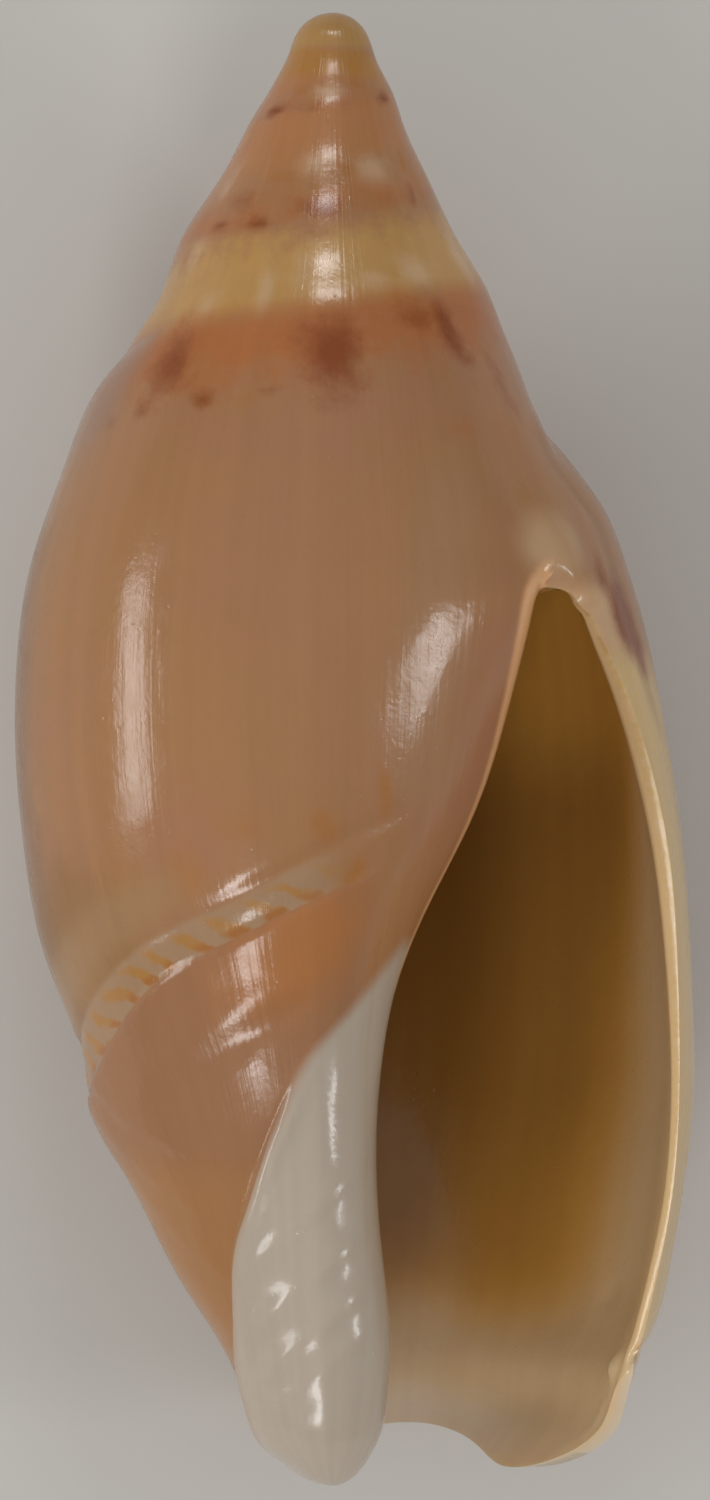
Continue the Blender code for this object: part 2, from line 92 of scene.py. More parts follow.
INNER_LINE = [
    (0.0, 0.7, 0.62), (0.9, 0.75, 0.66), (1.8, 1.05, 0.93), (3.6, 1.6, 1.42), (6.05, 2.55, 2.27),
    (8.5, 3.36, 2.98), (10.9, 4.03, 3.6), (12.5, 4.46, 3.95), (13.4, 4.66, 3.98), (14.1, 4.84, 3.82),
    (14.75, 4.8, 3.66), (15.75, 4.57, 3.36), (17.7, 4.04, 2.75), (19.6, 3.35, 2.25), (21.6, 2.32, 1.8),
    (23.5, 1.52, 1.45), (25.5, 1.15, 1.3), (27.5, 1.03, 1.3), (30.4, 1.2, 1.3), (32.5, 1.37, 1.1),
    (34.0, 1.25, 0.8), (36.0, 1.0, 0.5),
]
# Angles of the sides between the two edge lines, and how far the edge of the inner lip rolls over.
SIDE_ANGLES = (90, 135, 180, 270, 360)
EDGE_ROLL = 0.26


def curve(points):
    """A function through (place, value) points: a natural cubic spline, straight beyond its ends."""
    xs, ys = np.array(points, float).T
    h = np.diff(xs)
    slope = np.diff(ys) / h
    n = len(xs)
    system = np.eye(n)
    right = np.zeros(n)
    for i in range(1, n - 1):
        system[i, i - 1 : i + 2] = h[i - 1], 2 * (h[i - 1] + h[i]), h[i]
        right[i] = 6 * (slope[i] - slope[i - 1])
    bend = np.linalg.solve(system, right)

    def value(x):
        x = np.asarray(x, float)
        i = np.clip(np.searchsorted(xs, x) - 1, 0, n - 2)
        a = (xs[i + 1] - x) / h[i]
        b = 1 - a
        cubic = ((a**3 - a) * bend[i] + (b**3 - b) * bend[i + 1]) * h[i] ** 2 / 6
        inside = (a >= 0) & (b >= 0)
        return a * ys[i] + b * ys[i + 1] + np.where(inside, cubic, 0)

    return value


def rises(x, start, end):
    """0 at the start, 1 at the end and beyond, and a smooth S between. The end may be the lower one."""
    x = np.clip((x - start) / (end - start), 0.0, 1.0)
    return x * x * (3 - 2 * x)


def hump(x):
    """A bell: 1 at 0, and nothing beyond about 2."""
    return np.exp(-(x**2))


def spline_round(theta, knots, radii, first_slope, last_slope):
    """Radius at each angle, on a cubic spline of its own through that place's knots (angles in degrees)."""
    at = np.radians(knots)
    x = np.radians(theta)
    h = np.diff(at, axis=-1)
    slope = np.diff(radii, axis=-1) / h
    n = at.shape[-1]
    system = np.zeros(at.shape + (n,))
    right = np.zeros(at.shape)
    system[..., 0, 0], system[..., 0, 1] = 2 * h[..., 0], h[..., 0]
    right[..., 0] = 6 * (slope[..., 0] - first_slope)
    system[..., -1, -1], system[..., -1, -2] = 2 * h[..., -1], h[..., -1]
    right[..., -1] = 6 * (last_slope - slope[..., -1])
    for i in range(1, n - 1):
        system[..., i, i - 1] = h[..., i - 1]
        system[..., i, i] = 2 * (h[..., i - 1] + h[..., i])
        system[..., i, i + 1] = h[..., i]
        right[..., i] = 6 * (slope[..., i] - slope[..., i - 1])
    bend = np.linalg.solve(system, right[..., None])[..., 0]
    i = np.clip((x[..., None] > at).sum(axis=-1) - 1, 0, n - 2)[..., None]

    def pick(values, step=0):
        return np.take_along_axis(values, i + step, axis=-1)[..., 0]

    width = pick(h)
    a = (pick(at, 1) - x) / width
    b = 1 - a
    cubic = ((a**3 - a) * pick(bend) + (b**3 - b) * pick(bend, 1)) * width**2 / 6
    return a * pick(radii) + b * pick(radii, 1) + cubic


def quarter_round(x):
    """A quarter circle: 0 below 0, rising steeply at first, and level at 1 and beyond."""
    return np.sqrt(1 - np.clip(1 - x, 0, 1) ** 2)


sides = [curve(side) for side in (FRONT_SIDE, FRONT_LEFT_SIDE, LEFT_SIDE, BACK_SIDE, RIGHT_SIDE)]
lip_x, lip_z = curve([p[:2] for p in LIP_LINE]), curve([(p[0], p[2]) for p in LIP_LINE])
inner_x, inner_z = curve([p[:2] for p in INNER_LINE]), curve([(p[0], p[2]) for p in INNER_LINE])


def edge(x, z, station):
    """Angle and radius of one of the two edge lines at a station."""
    across, up = x(station), z(station)
    return np.degrees(np.arctan2(up, across)), np.hypot(across, up)


def tip_cap(station):
    """Rounds off the front end of the columella."""
    return quarter_round((LENGTH - station) / (LENGTH - TIP_START))


def bridge(theta, lip_angle, inner_angle, radii, slopes):
    """Radius across the gap between the two edge lines, and how far across it each angle is."""
    gap = inner_angle - lip_angle
    t = (np.where(theta < 180, theta + 360, theta) - lip_angle - 360) / gap
    left, right = (slope * np.radians(gap) for slope in slopes)
    risen = rises(t, 0, 1)
    return radii[0] * (1 - risen) + radii[1] * risen + left * t * (1 - t) ** 2 - right * t**2 * (1 - t), t


def outer_radius(theta, station):
    """Distance of the outer surface from the axis, before its relief."""
    lip_angle, lip_radius = edge(lip_x, lip_z, station)
    inner_angle, inner_radius = edge(inner_x, inner_z, station)
    inner_radius = inner_radius + EDGE_ROLL * rises(station, CORNER - 1.1, CORNER + 0.4)
    around = [side(station) for side in sides]
    first_slope = (around[0] - inner_radius) / np.radians(SIDE_ANGLES[0] - inner_angle)
    last_slope = (lip_radius - around[-1]) / np.radians(lip_angle)
    fixed = [np.full_like(inner_angle, angle) for angle in SIDE_ANGLES]
    knots = np.stack([inner_angle, *fixed, lip_angle + 360], -1)
    radii = np.stack([inner_radius, *around, lip_radius], -1)
    radius = spline_round(theta, knots, radii, first_slope, last_slope)
    across, t = bridge(theta, lip_angle, inner_angle, (lip_radius, inner_radius), (last_slope, first_slope))
    radius = np.where((t > 0) & (t < 1), across, radius)
    capped = rises(theta, TIP_ANGLE + TIP_FADE, TIP_ANGLE)
    return radius * quarter_round(station / DOME_HEIGHT) * (1 - capped * (1 - tip_cap(station)))


# The mouth, which is the open end of the spiral: a long gap in the wall between the inner lip and the outer
# lip. The rounded arch above its corner is half an ellipse, whose top is nearer to the inner lip.
ARCH_HEIGHT = 0.45
ARCH_TOP = 0.2
TINY = 1e-6


def opening_sides(station):
    """Angles of the inner lip, of the outer lip, and of the line between them where the arch has its top."""
    inner, _ = edge(inner_x, inner_z, np.maximum(station, CORNER + ARCH_HEIGHT))
    lip, _ = edge(lip_x, lip_z, np.maximum(station, CORNER + ARCH_HEIGHT))
    return inner, lip, inner + ARCH_TOP * (lip - inner)


def opening_angles(station):
    """Where the outer surface begins and ends: a line above the corner, then an arch, then the two lips."""
    inner, lip, top = opening_sides(station)
    spread = quarter_round((station - CORNER) / ARCH_HEIGHT)
    return top + (inner - top) * spread, top + (lip - top) * spread + 360


def from_edges(theta, station, radius):
    """Distances across the surface from the edges of the inner lip and the outer lip, round the arch too."""
    inner, lip, top = opening_sides(station)
    above = np.maximum(CORNER + ARCH_HEIGHT - station, 0)
    found = []
    for turned, half_width in ((theta - top, inner - top), (top + 360 - theta, top - lip)):
        across, half = np.radians(turned) * radius, np.maximum(np.radians(half_width) * radius, TINY)
        share = np.maximum(np.hypot(across / half, above / ARCH_HEIGHT), TINY)
        found.append(np.hypot(across, above) * (1 - 1 / share))
    return found


# The low relief, a fraction of a millimetre of callus over the wall: the suture, the groove and ledge of the
# banded strip, the columella's raised pillar with its folds, growth steps, and the swelling where the outer
# lip begins. Lines that wind round the shell are listed as (angle, station).
SUTURE = [
    (120, 6.6), (150, 7.6), (180, 8.35), (225, 8.9), (270, 9.35), (315, 9.8), (360, 10.3), (385, 11.6),
]
SUTURE_DEPTH = 0.09
SUTURE_WIDTH = 0.35
BAND_GROOVE = [
    (60, 19.0), (90, 20.3), (118, 21.7), (140, 22.6), (160, 23.8), (180, 25.0), (270, 29.0), (315, 31.0),
    (374, 32.8),
]
BAND_GROOVE_DEPTH = 0.07
BAND_GROOVE_WIDTH = 0.2
CALLUS_LEDGE = [
    (60, 20.2), (80, 21.0), (99, 21.8), (117, 22.6), (140, 23.65), (154, 24.6), (170, 25.7), (180, 26.3),
    (225, 28.9), (270, 31.2), (300, 33.0), (330, 35.3),
]
CALLUS_LEDGE_HEIGHT = 0.13
# The shallow groove along the callus's middle, with a low ridge beside it.
CALLUS_GROOVE = [(95, 24.1), (107, 24.5), (122, 25.1), (150, 26.6), (175, 28.3)]
CALLUS_GROOVE_DEPTH = 0.06
CALLUS_RIDGE_HEIGHT = 0.04
CALLUS_RIDGE_OFFSET = 0.6
# The left edge of the columella's white pillar, as (station, right of the axis), and the bead along it.
PILLAR_EDGE = [
    (23.5, 1.0), (24.2, 0.44), (25.5, -0.64), (26.8, -1.2), (28.0, -1.6), (29.1, -1.9), (29.9, -2.12),
    (30.85, -2.2), (32.0, -2.15), (33.2, -2.05), (34.0, -1.85), (36.0, -1.4),
]
PILLAR_HEIGHT = 0.3
BEAD_OFFSET = 0.3
BEAD_HEIGHT = 0.1
# Slanting folds of the columella, as (place on its slant, height).
FOLDS = [(28.7, 0.07), (30.35, 0.08), (31.7, 0.07), (32.8, 0.04)]
FOLD_SLANT = 1.05
FOLD_WIDTH = 0.34
# Growth steps across the front callus, as (station, depth).
GROWTH_STEPS = [(28.0, 0.05), (29.55, 0.02), (31.05, 0.02)]
# The line behind the outer lip where its callus ends, as (station, right of the axis).
LIP_CALLUS = [
    (8.0, 4.25), (10.05, 4.94), (11.3, 5.53), (12.4, 6.38), (13.5, 6.8), (14.5, 7.12), (15.75, 7.43),
    (18.0, 8.1),
]
LIP_CALLUS_DEPTH = 0.04
# Turns of the spiral counted from the apex, as (station on the viewer's side, turn), and where on each turn
# the surface leans out the most, by this share of the distance from the apex.
TURNS = [
    (-0.4, -1.0), (0.95, 0.0), (2.4, 1.0), (4.85, 2.0), (7.75, 3.0), (12.0, 4.0), (20.0, 5.4), (36.0, 8.0),
]
TURN_SWELL = 0.66
TURN_SWELL_HEIGHT = 0.009
# The swelling where the outer lip joins the shoulder.
BULGE_ANGLE = 35.0
BULGE_STATION = 13.1
BULGE_HEIGHT = 0.2
BULGE_WIDTH = 1.0
ROLL_WIDTH = 0.7

suture, band_groove, callus_ledge, pillar_edge = map(curve, (SUTURE, BAND_GROOVE, CALLUS_LEDGE, PILLAR_EDGE))
callus_groove, lip_callus, turns = map(curve, (CALLUS_GROOVE, LIP_CALLUS, TURNS))


def beside(theta, station, line, radius):
    """Distance across the surface from a winding line, positive on its front side."""
    rise = (line(theta + 1) - line(theta - 1)) / np.radians(2) / np.maximum(radius, 1)
    return (station - line(theta)) / np.hypot(1, rise)


def relief(theta, station, radius):
    """Height of the ledges, grooves and raised callus above the plain outer surface."""
    away = beside(theta, station, suture, radius)
    height = -SUTURE_DEPTH * hump(away / SUTURE_WIDTH) * rises(theta, 130, 170) * rises(theta, 384, 364)
    away = beside(theta, station, band_groove, radius)
    height -= BAND_GROOVE_DEPTH * hump(away / BAND_GROOVE_WIDTH) * rises(theta, 60, 85)
    away = beside(theta, station, callus_ledge, radius)
    callus = rises(away, -0.15, 0.15) * rises(theta, 68, 98) * rises(station, LENGTH, LENGTH - 2)
    height += CALLUS_LEDGE_HEIGHT * callus
    away = radius * np.cos(np.radians(theta)) - pillar_edge(station)
    raised = rises(away, -0.15, 0.15) * (theta < 185) * rises(station, 24, 28.5)
    return height + PILLAR_HEIGHT * raised * rises(station, LENGTH, LENGTH - 1.5)


def bulge(theta, station, radius):
    """The swelling where the outer lip joins the shoulder."""
    turned = np.radians((theta - BULGE_ANGLE + 180) % 360 - 180) * radius
    return BULGE_HEIGHT * hump(np.hypot(turned, station - BULGE_STATION) / BULGE_WIDTH)


def on_spiral(theta, station):
    """How far down its turn a point is, from 0 to 1, and how many turns had grown when it formed."""
    turn = turns(station) - (theta - 90) / 360
    return turn - np.floor(turn), np.floor(turn) + (theta - 90) / 360


def growth_line(theta, station):
    """The station at which a growth line through this point crosses the front callus."""
    return station + 0.28 * (np.clip(theta - 141, 0, 60) / 14) ** 2


def fine_relief(theta, station, radius):
    """Height of the folds, growth steps, turns and fine lines that the solids leave out."""
    across = radius * np.cos(np.radians(theta))
    on_pillar = across - pillar_edge(station)
    slant = station + FOLD_SLANT * across
    front_end = rises(station, LENGTH, LENGTH - 2)
    clear = rises(on_pillar, 0.21, 0.91) * rises(across, 1.1, 0.3) * (theta < 185)
    height = sum(size * hump((slant - place) / FOLD_WIDTH) for place, size in FOLDS) * clear * front_end
    bead = hump((on_pillar - BEAD_OFFSET) / 0.2) * rises(station, 25.5, 27.5) * (theta < 200)
    height += BEAD_HEIGHT * bead * front_end
    grown = growth_line(theta, station)
    on_callus = rises(on_pillar, 0, -0.4) * rises(theta, 100, 130) * rises(theta, 300, 240)
    for place, depth in GROWTH_STEPS:
        step = rises(grown, place - 0.06, place + 0.06) - rises(grown, place + 0.12, place + 1.52)
        height -= depth * step * on_callus
    along = beside(theta, station, callus_groove, radius)
    ridge = CALLUS_RIDGE_HEIGHT * hump((along + CALLUS_RIDGE_OFFSET) / 0.35)
    groove = ridge - CALLUS_GROOVE_DEPTH * hump(along / 0.3)
    height += groove * rises(theta, 92, 106) * rises(theta, 165, 135)
    share, _ = on_spiral(theta, station)
    swelling = TURN_SWELL_HEIGHT * np.minimum(station, 7) * np.sin(2 * np.pi * (share - TURN_SWELL))
    height += swelling * rises(station, 10, 7) * rises(station, 0.7, 2.2)
    behind = (across - lip_callus(station)) * (theta > 330)
    shown = rises(theta, 352, 364) * rises(station, 9.5, 11.5) * rises(station, 17, 15)
    return height - LIP_CALLUS_DEPTH * hump(behind / 0.14) * shown


def surface_radius(theta, station):
    """Distance of the finished outer surface from the axis, with its relief and its rolled edges."""
    radius = outer_radius(theta, station)
    from_inner, from_lip = from_edges(theta, station, radius)
    height = relief(theta, station, radius) + fine_relief(theta, station, radius)
    height = height * rises(from_inner, 0, 1.2) * rises(from_lip, 0, 0.8)
    nearest = np.minimum(from_inner, from_lip + 2 * np.maximum(station - CORNER - ARCH_HEIGHT, 0))
    rolled = EDGE_ROLL * np.clip(1 - nearest / ROLL_WIDTH, 0, 1) ** 2 * tip_cap(station)
    return radius + height + bulge(theta, station, radius) - rolled


# The hollow of the last whorl, where the snail lived. The wall is thick on the back and thin at the lips.
# The hollow winds in round the columella, and here it ends about half a turn in, where nothing shows.
# The rim of the front end, as (angle, station), and how far round the hollow reaches, as (station, angle).
RIM_STATIONS = [
    (262.0, 36.0), (270.0, 35.5), (279.0, 34.95), (290.0, 34.72), (302.0, 34.72), (316.0, 35.05),
    (330.0, 35.55), (342.0, 35.65), (352.0, 35.35), (361.0, 34.8), (369.0, 34.0), (374.0, 33.1),
]
HOLLOW_END = [(14.1, 150.0), (24.0, 155.0), (28.0, 185.0), (32.0, 232.0), (36.0, 262.0)]
# The core that the hollow winds round, as (angle, share of the inner lip's distance right of the axis).
CORE_SIDES = [(0.0, 0.93), (-90.0, 0.84), (-180.0, 0.78), (-215.0, 0.76)]
CORE_STEP = 0.3
NARROWEST = 0.06
# How thick the wall is on the back, and at the outer lip as (station, thickness), whose edge is rounded.
WALL = 0.95
WALL_FADE = 35.0
FRONT_THINNING = 0.45
LIP_WALL = [(14.1, 0.34), (15.75, 0.45), (21.5, 0.45), (24.0, 0.34), (33.0, 0.34), (36.0, 0.4)]
LIP_ROUND = 0.3
# The upper end of the hollow, as (angle, station).
CEILING = [(150.0, 10.9), (180.0, 10.9), (270.0, 11.7), (340.0, 12.9), (397.0, 14.1)]

rim_station, hollow_end, ceiling, lip_wall = map(curve, (RIM_STATIONS, HOLLOW_END, CEILING, LIP_WALL))


def core_radius(theta, station):
    """Distance from the axis of the surface that the hollow winds round, from the inner lip inwards."""
    angle, _ = opening_angles(station)
    radius = surface_radius(angle, station)
    width = inner_x(station)
    knots = np.stack([-angle] + [np.full_like(angle, -a) for a, _ in CORE_SIDES], -1)
    radii = np.stack([radius] + [share * width * tip_cap(station) for _, share in CORE_SIDES], -1)
    slope = (radius - surface_radius(angle + CORE_STEP, station)) / np.radians(CORE_STEP)
    return spline_round(-theta, knots, radii, slope, np.zeros_like(slope))


def wall(theta, station, radius):
    """Thickness of the wall: thinner towards the lip and the front rim, and rounded at the lip's edge."""
    _, lip_angle = opening_angles(station)
    _, from_lip = from_edges(theta, station, radius)
    thin = lip_wall(station)
    fronts = 1 - FRONT_THINNING * rises(station, 31.5, 35)
    thick = thin + (WALL - thin) * rises(theta, lip_angle, lip_angle - WALL_FADE) * fronts
    return thick * quarter_round(from_lip / LIP_ROUND)


def hollow(theta, station, end_angle):
    """Radii half-way across the hollow, and half its width, which is nothing at its far end."""
    surface = surface_radius(theta, station)
    plain = outer_radius(theta, station)
    _, lip_angle = opening_angles(station)
    outside = surface + (plain - surface) * rises(theta, lip_angle, lip_angle - 10)
    outside = outside - wall(theta, station, plain) * np.clip(plain / 3, 0, 1)
    inside = core_radius(theta - 360, station)
    half = np.maximum((outside - inside) / 2, NARROWEST * np.clip((lip_angle - theta) / 3, 0, 1))
    return (outside + inside) / 2, half * quarter_round((theta - end_angle) / 30)


# The colours' places. Pigment in the glaze makes zones that follow the coil, spots at the suture, and other
# tints at the front end and the lips, and a few marks are painted sheen and shade. Each is a mark on the
# mesh, a weight from 0 to 1 or a distance in mm, which the glaze reads further down.
# Rust-brown spots, as (angle, station, half width, half height, tilt in degrees, strength).
RUST_SPOTS = [
    (89, 8.5, 0.6, 0.85, 0, 0.95), (93, 7.9, 0.9, 0.4, 10, 0.5), (141, 8.75, 0.6, 0.8, -35, 0.75),
    (49, 7.95, 0.3, 0.75, 20, 0.9), (60, 7.6, 0.6, 0.35, 0, 0.45),
    (45, 8.6, 0.4, 0.22, 0, 0.6), (156, 10.15, 0.3, 0.25, -30, 0.5), (145, 9.83, 0.3, 0.25, -20, 0.5),
    (127, 9.6, 0.36, 0.2, 0, 0.5), (107, 9.4, 0.3, 0.12, 0, 0.4), (139, 2.5, 0.32, 0.14, 12, 0.9),
    (110, 2.4, 0.4, 0.07, 0, 0.6), (38, 2.15, 0.25, 0.14, 0, 0.8), (142, 5.3, 0.24, 0.14, 0, 0.7),
    (122, 5.28, 0.32, 0.14, 0, 0.8), (136, 4.75, 0.5, 0.3, 0, 0.5), (96, 4.9, 0.65, 0.25, 0, 0.6),
    (43, 4.55, 0.14, 0.3, -15, 0.6), (30, 9.3, 0.3, 0.8, 20, 0.35),
]
# Ochre spots of the same kind, paler, with those above the banded strip.
OCHRE_SPOTS = [
    (118, 4.13, 0.34, 0.13, 0, 0.8), (82, 3.95, 0.24, 0.22, 0, 0.7), (41, 3.75, 0.16, 0.35, -10, 0.9),
    (119, 1.96, 0.2, 0.12, 0, 0.7), (68, 1.8, 0.2, 0.12, 0, 0.7), (126, 21.1, 0.5, 0.6, -20, 0.7),
    (92, 19.9, 0.35, 0.5, 20, 0.7), (77, 19.0, 0.2, 0.7, 8, 0.8), (84, 21.0, 0.2, 0.5, -25, 0.9),
    (110, 19.8, 0.7, 0.5, 0, 0.4), (100, 21.3, 0.4, 0.25, 20, 0.5), (106, 7.3, 0.35, 0.15, 0, 0.4),
]
# Milky patches of thicker glaze on the spire.
MILKY_SPOTS = [
    (65, 3.95, 0.45, 0.35, 0, 0.8), (153, 4.2, 0.3, 0.4, 0, 0.7), (100, 3.85, 0.35, 0.3, 0, 0.6),
    (96, 2.0, 0.3, 0.15, 0, 0.7), (57, 6.5, 0.5, 0.35, 0, 0.8), (75, 6.7, 0.4, 0.25, 0, 0.6),
    (113, 7.05, 0.2, 0.65, 0, 0.7), (134, 7.3, 0.3, 0.3, 0, 0.5), (152, 6.1, 0.3, 0.5, 0, 0.5),
    (24, 6.2, 0.3, 0.8, 0, 0.7), (95, 6.6, 0.6, 0.4, 0, 0.6), (180, 5.6, 0.4, 0.5, 0, 0.6),
    (215, 6.3, 0.5, 0.3, 0, 0.7), (250, 5.9, 0.4, 0.3, 0, 0.6), (290, 6.8, 0.6, 0.3, 0, 0.7),
    (330, 4.1, 0.4, 0.3, 0, 0.7),
]
# Brown stains behind the upper end of the outer lip.
LIP_STAINS = [
    (375.5, 14.8, 0.6, 0.85, 0, 1.0), (372.0, 15.6, 0.5, 0.7, 0, 0.7), (381, 13.9, 0.35, 0.5, 12, 0.5),
]
# The side that the photo doesn't show has rust spots too: so many on each of these turns.
HIDDEN_TURNS = (1, 2, 3, 3, 3)
HIDDEN_EACH = 5
HIDDEN_SIDE = (190, 350)
SEED = 7
# The pillar's mark where the pillar isn't, in the hollow.
OFF_PILLAR = -3.0


def hidden_spots():
    """More rust spots on the side that the shell lies on, strung along the turns as on the other side."""
    random = np.random.default_rng(SEED)
    found = []
    for turn in HIDDEN_TURNS:
        for angle in random.uniform(*HIDDEN_SIDE, HIDDEN_EACH):
            stations = np.linspace(1, 12, 221)
            start = np.interp(turn + (angle - 90) / 360, turns(stations), stations)
            size = 0.08 * start * random.uniform(0.5, 1)
            station = start + random.uniform(0.1, 1.2) * size
            found.append((angle, station, size, 0.7 * size, random.uniform(-40, 40), random.uniform(0.5, 1)))
    return found


def spots(theta, station, radius, listed):
    """Weight of a list of soft-edged spots."""
    weight = np.zeros_like(station)
    for angle, place, wide, tall, tilt, strength in listed:
        round_way = np.radians((angle - theta + 180) % 360 - 180) * radius
        down = station - place
        c, s = math.cos(math.radians(tilt)), math.sin(math.radians(tilt))
        squared = ((c * round_way - s * down) / wide) ** 2 + ((s * round_way + c * down) / tall) ** 2
        weight = np.maximum(weight, strength * np.exp(-0.7 * squared))
    return weight


def along_band():
    """Distance along the banded strip from the viewer's side round to the front rim, at each degree."""
    angles = np.arange(40.0, 400.0, 1.0)
    places = band_groove(angles)
    step = np.radians(1.0) * outer_radius(angles, np.clip(places, CORNER, 34.0))
    return angles, np.cumsum(np.hypot(step, np.gradient(places)))


def rust_strength(growth, first, second):
    """How strong the rust beside a suture is: more at one turn, and more again at a later one."""
    return 0.3 + 0.25 * rises(growth, *first) + 0.4 * rises(growth, *second)


def outer_marks(theta, station):
    """Where each colour of the outer surface lies, as weights from 0 to 1 or as distances in millimetres."""
    plain = outer_radius(theta, station)
    across, up = (plain * part(np.radians(theta)) for part in (np.cos, np.sin))
    from_inner, from_lip = from_edges(theta, station, plain)
    share, growth = on_spiral(theta, station)
    band = beside(theta, station, band_groove, plain)
    ledge = beside(theta, station, callus_ledge, plain)
    marks = {"depth": np.zeros_like(station), "lip_inside_painted_light": np.zeros_like(station)}
    rim = rim_station(np.clip(theta, TIP_ANGLE, RIM_STATIONS[-1][0]))
    ends = np.where(theta > TIP_ANGLE, rim, LENGTH + 3)
    marks["from_rim"] = ends - station

    # The spire, from its cream tip down to the rust below the suture.
    marks["pink_tip"] = rises(station, 1.08, 0.73)
    marks["ochre_top"] = rises(station - 0.1 * across, 0.8, 1.05) * rises(station, 1.9, 1.3)
    marks["peach"] = rises(growth, 1.75, 1.35) * rises(station, 1.0, 1.6)
    marks["peach"] *= 1 - 0.5 * rises(share, 0.45, 0.75)
    marks["pale_ring"] = rises(share, -0.1, 0.6) * rises(share, 1.12, 0.62) * (station < 12)
    marks["pale_ring"] *= rises(growth, 1.3, 1.6) * rises(growth, 2.65, 2.35)
    above = rises(share, 0.58, 1.03) * rust_strength(growth, (0.0, 1.0), (1.4, 1.7))
    width = 0.15 + 0.42 * rises(growth, 2.3, 2.8)
    below = rises(share, 0.03 + width, 0.03) * rust_strength(growth, (1.0, 2.0), (2.4, 2.7))
    marks["rust_ring"] = np.maximum(above, below) * rises(station, 11.2, 9.7) * rises(station, 1.5, 2.3)
    marks["rust_spots"] = spots(theta, station, plain, RUST_SPOTS + hidden_spots())
    marks["ochre_spots"] = spots(theta, station, plain, OCHRE_SPOTS)
    marks["milky"] = spots(theta, station, plain, MILKY_SPOTS)

    # The last whorl: a painted sheen along the mouth, paler on the shoulder, and browner on the left, where
    # painted shade lies over its own brown.
    flank = 2.6 - 0.1 * (station - CORNER + 0.1)
    # A pale band right of the middle: painted sheen where the right-hand soft box's glow runs down beside
    # the mouth.
    marks["pale_flank_painted_sheen"] = hump(across - flank) * (up > 0)
    marks["pale_flank_painted_sheen"] *= rises(station, 9.5, 12.5) * rises(station, 21, 18)
    marks["shoulder"] = rises(beside(theta, station, suture, plain), -0.15, 0.15)
    marks["shoulder"] *= rises(theta, 140, 165) * rises(station, 12.5, 9.5)
    # Browner towards the left side and the back: partly its own brown, partly painted shade where the side
    # turns away.
    marks["left_edge_brown_and_shade"] = rises(theta, 150, 185) * rises(theta, 245, 190) * rises(station, 9, 15)
    marks["side_stain"] = hump((theta - 160) / 22) * hump((station - 22.6) / 2.2)

    # The banded strip, whose flames are counted along it and bend towards its upper edge.
    marks["strip"] = rises(band, -0.2, 0.3) * rises(ledge, 0.07, -0.07) * rises(theta, 78, 103)
    marks["strip_fade"] = hump((band + 0.7) / 0.8) * rises(theta, 112, 137)
    angles, distance = along_band()
    rise = (band_groove(theta + 1) - band_groove(theta - 1)) / np.radians(2) / np.maximum(plain, 1)
    bend = 1.3 * np.sqrt(0.95 * np.clip(band, 0, 1.5) + 0.02)
    marks["stripe_place"] = np.interp(theta, angles, distance) + band * rise + bend
    marks["flame_end"] = rises(band, -0.15, 0.55)
    marks["flame_tip"] = rises(ledge, -0.4, -0.05)

    # The front callus and the columella's pillar.
    callus = rises(ledge, -0.08, 0.08) * rises(theta, 60, 98) * rises(theta, 345, 315)
    marks["callus"] = callus
    marks["callus_red"] = callus * hump((theta - 92) / 34) * hump((ledge - 0.9) / 1.5)
    marks["callus_gold"] = callus * rises(station, 26.8, 29.3)
    pillar = np.minimum(across - pillar_edge(station), (240 - theta) / 90)
    marks["pillar"] = np.minimum(pillar, (station - 22.6) / 1.2)

    # The two lips.
    marks["roll"] = rises(from_inner, 0.95, 0.5) * rises(station, 12.5, 14.5) * rises(station, 25, 22)
    marks["bulge"] = bulge(theta, station, plain) / BULGE_HEIGHT
    marks["lip_cream"] = rises(from_lip, 5.1, 0.9) * rises(station, 14.7, 16.7)
    marks["lip_pale"] = rises(from_lip, 2.0, 0.8) * rises(station, 13.4, 14.6) * rises(station, 17, 15)
    marks["lip_stain"] = spots(theta, station, plain, LIP_STAINS)
    behind = (across - lip_callus(station)) * (theta > 330)
    marks["behind_lip"] = hump(behind / 0.12) * rises(theta, 352, 364)
    marks["behind_lip"] *= rises(station, 9, 11) * rises(station, 19, 16)
    return marks


def inner_marks(depth, from_lip, from_inner, from_rim):
    """The same marks inside the hollow, where only the distances count."""
    marks = {name: np.zeros_like(depth) for name in outer_marks(*np.full((2, 1, 1), CORNER))}
    marks.update(depth=depth, from_rim=from_rim)
    marks["lip_cream"] = rises(from_lip, 1.5, 0.3)
    # Painted light: a paler colour on the wall inside the outer lip, which lies in shade.
    marks["lip_inside_painted_light"] = rises(from_lip, 4.0, 0.5)
    marks["roll"] = rises(from_inner, 2.0, 0.5) * rises(from_rim, 9, 12)
    marks["pillar"] = np.full_like(depth, OFF_PILLAR)
    return marks


# The mesh. Each sheet of the wall is a primitive grid whose points are moved onto the surface, much closer
# together than the solid's, and the sheets are sewn into one closed shell.
AXIS_X = -0.54
DOME_ROWS = 14
RING_ROWS = 84
ARCH_ROWS = 12
OPEN_ROWS = 146
TIP_ROWS = 14
CEILING_ROWS = 14
PILLAR_COLUMNS = 188
RIM_COLUMNS = 58
RIM_CROWDING = 1.5
CEILING_TURN = 70
# A distance in millimetres that is past all edges.
FAR = 6.0


def place(theta, radius, station):
    """Points in the shell's frame: x right, y towards the apex, z up, from angle, radius and station."""
    angle = np.radians(theta)
    return np.stack([AXIS_X + radius * np.cos(angle), LENGTH / 2 - station, radius * np.sin(angle)], -1)


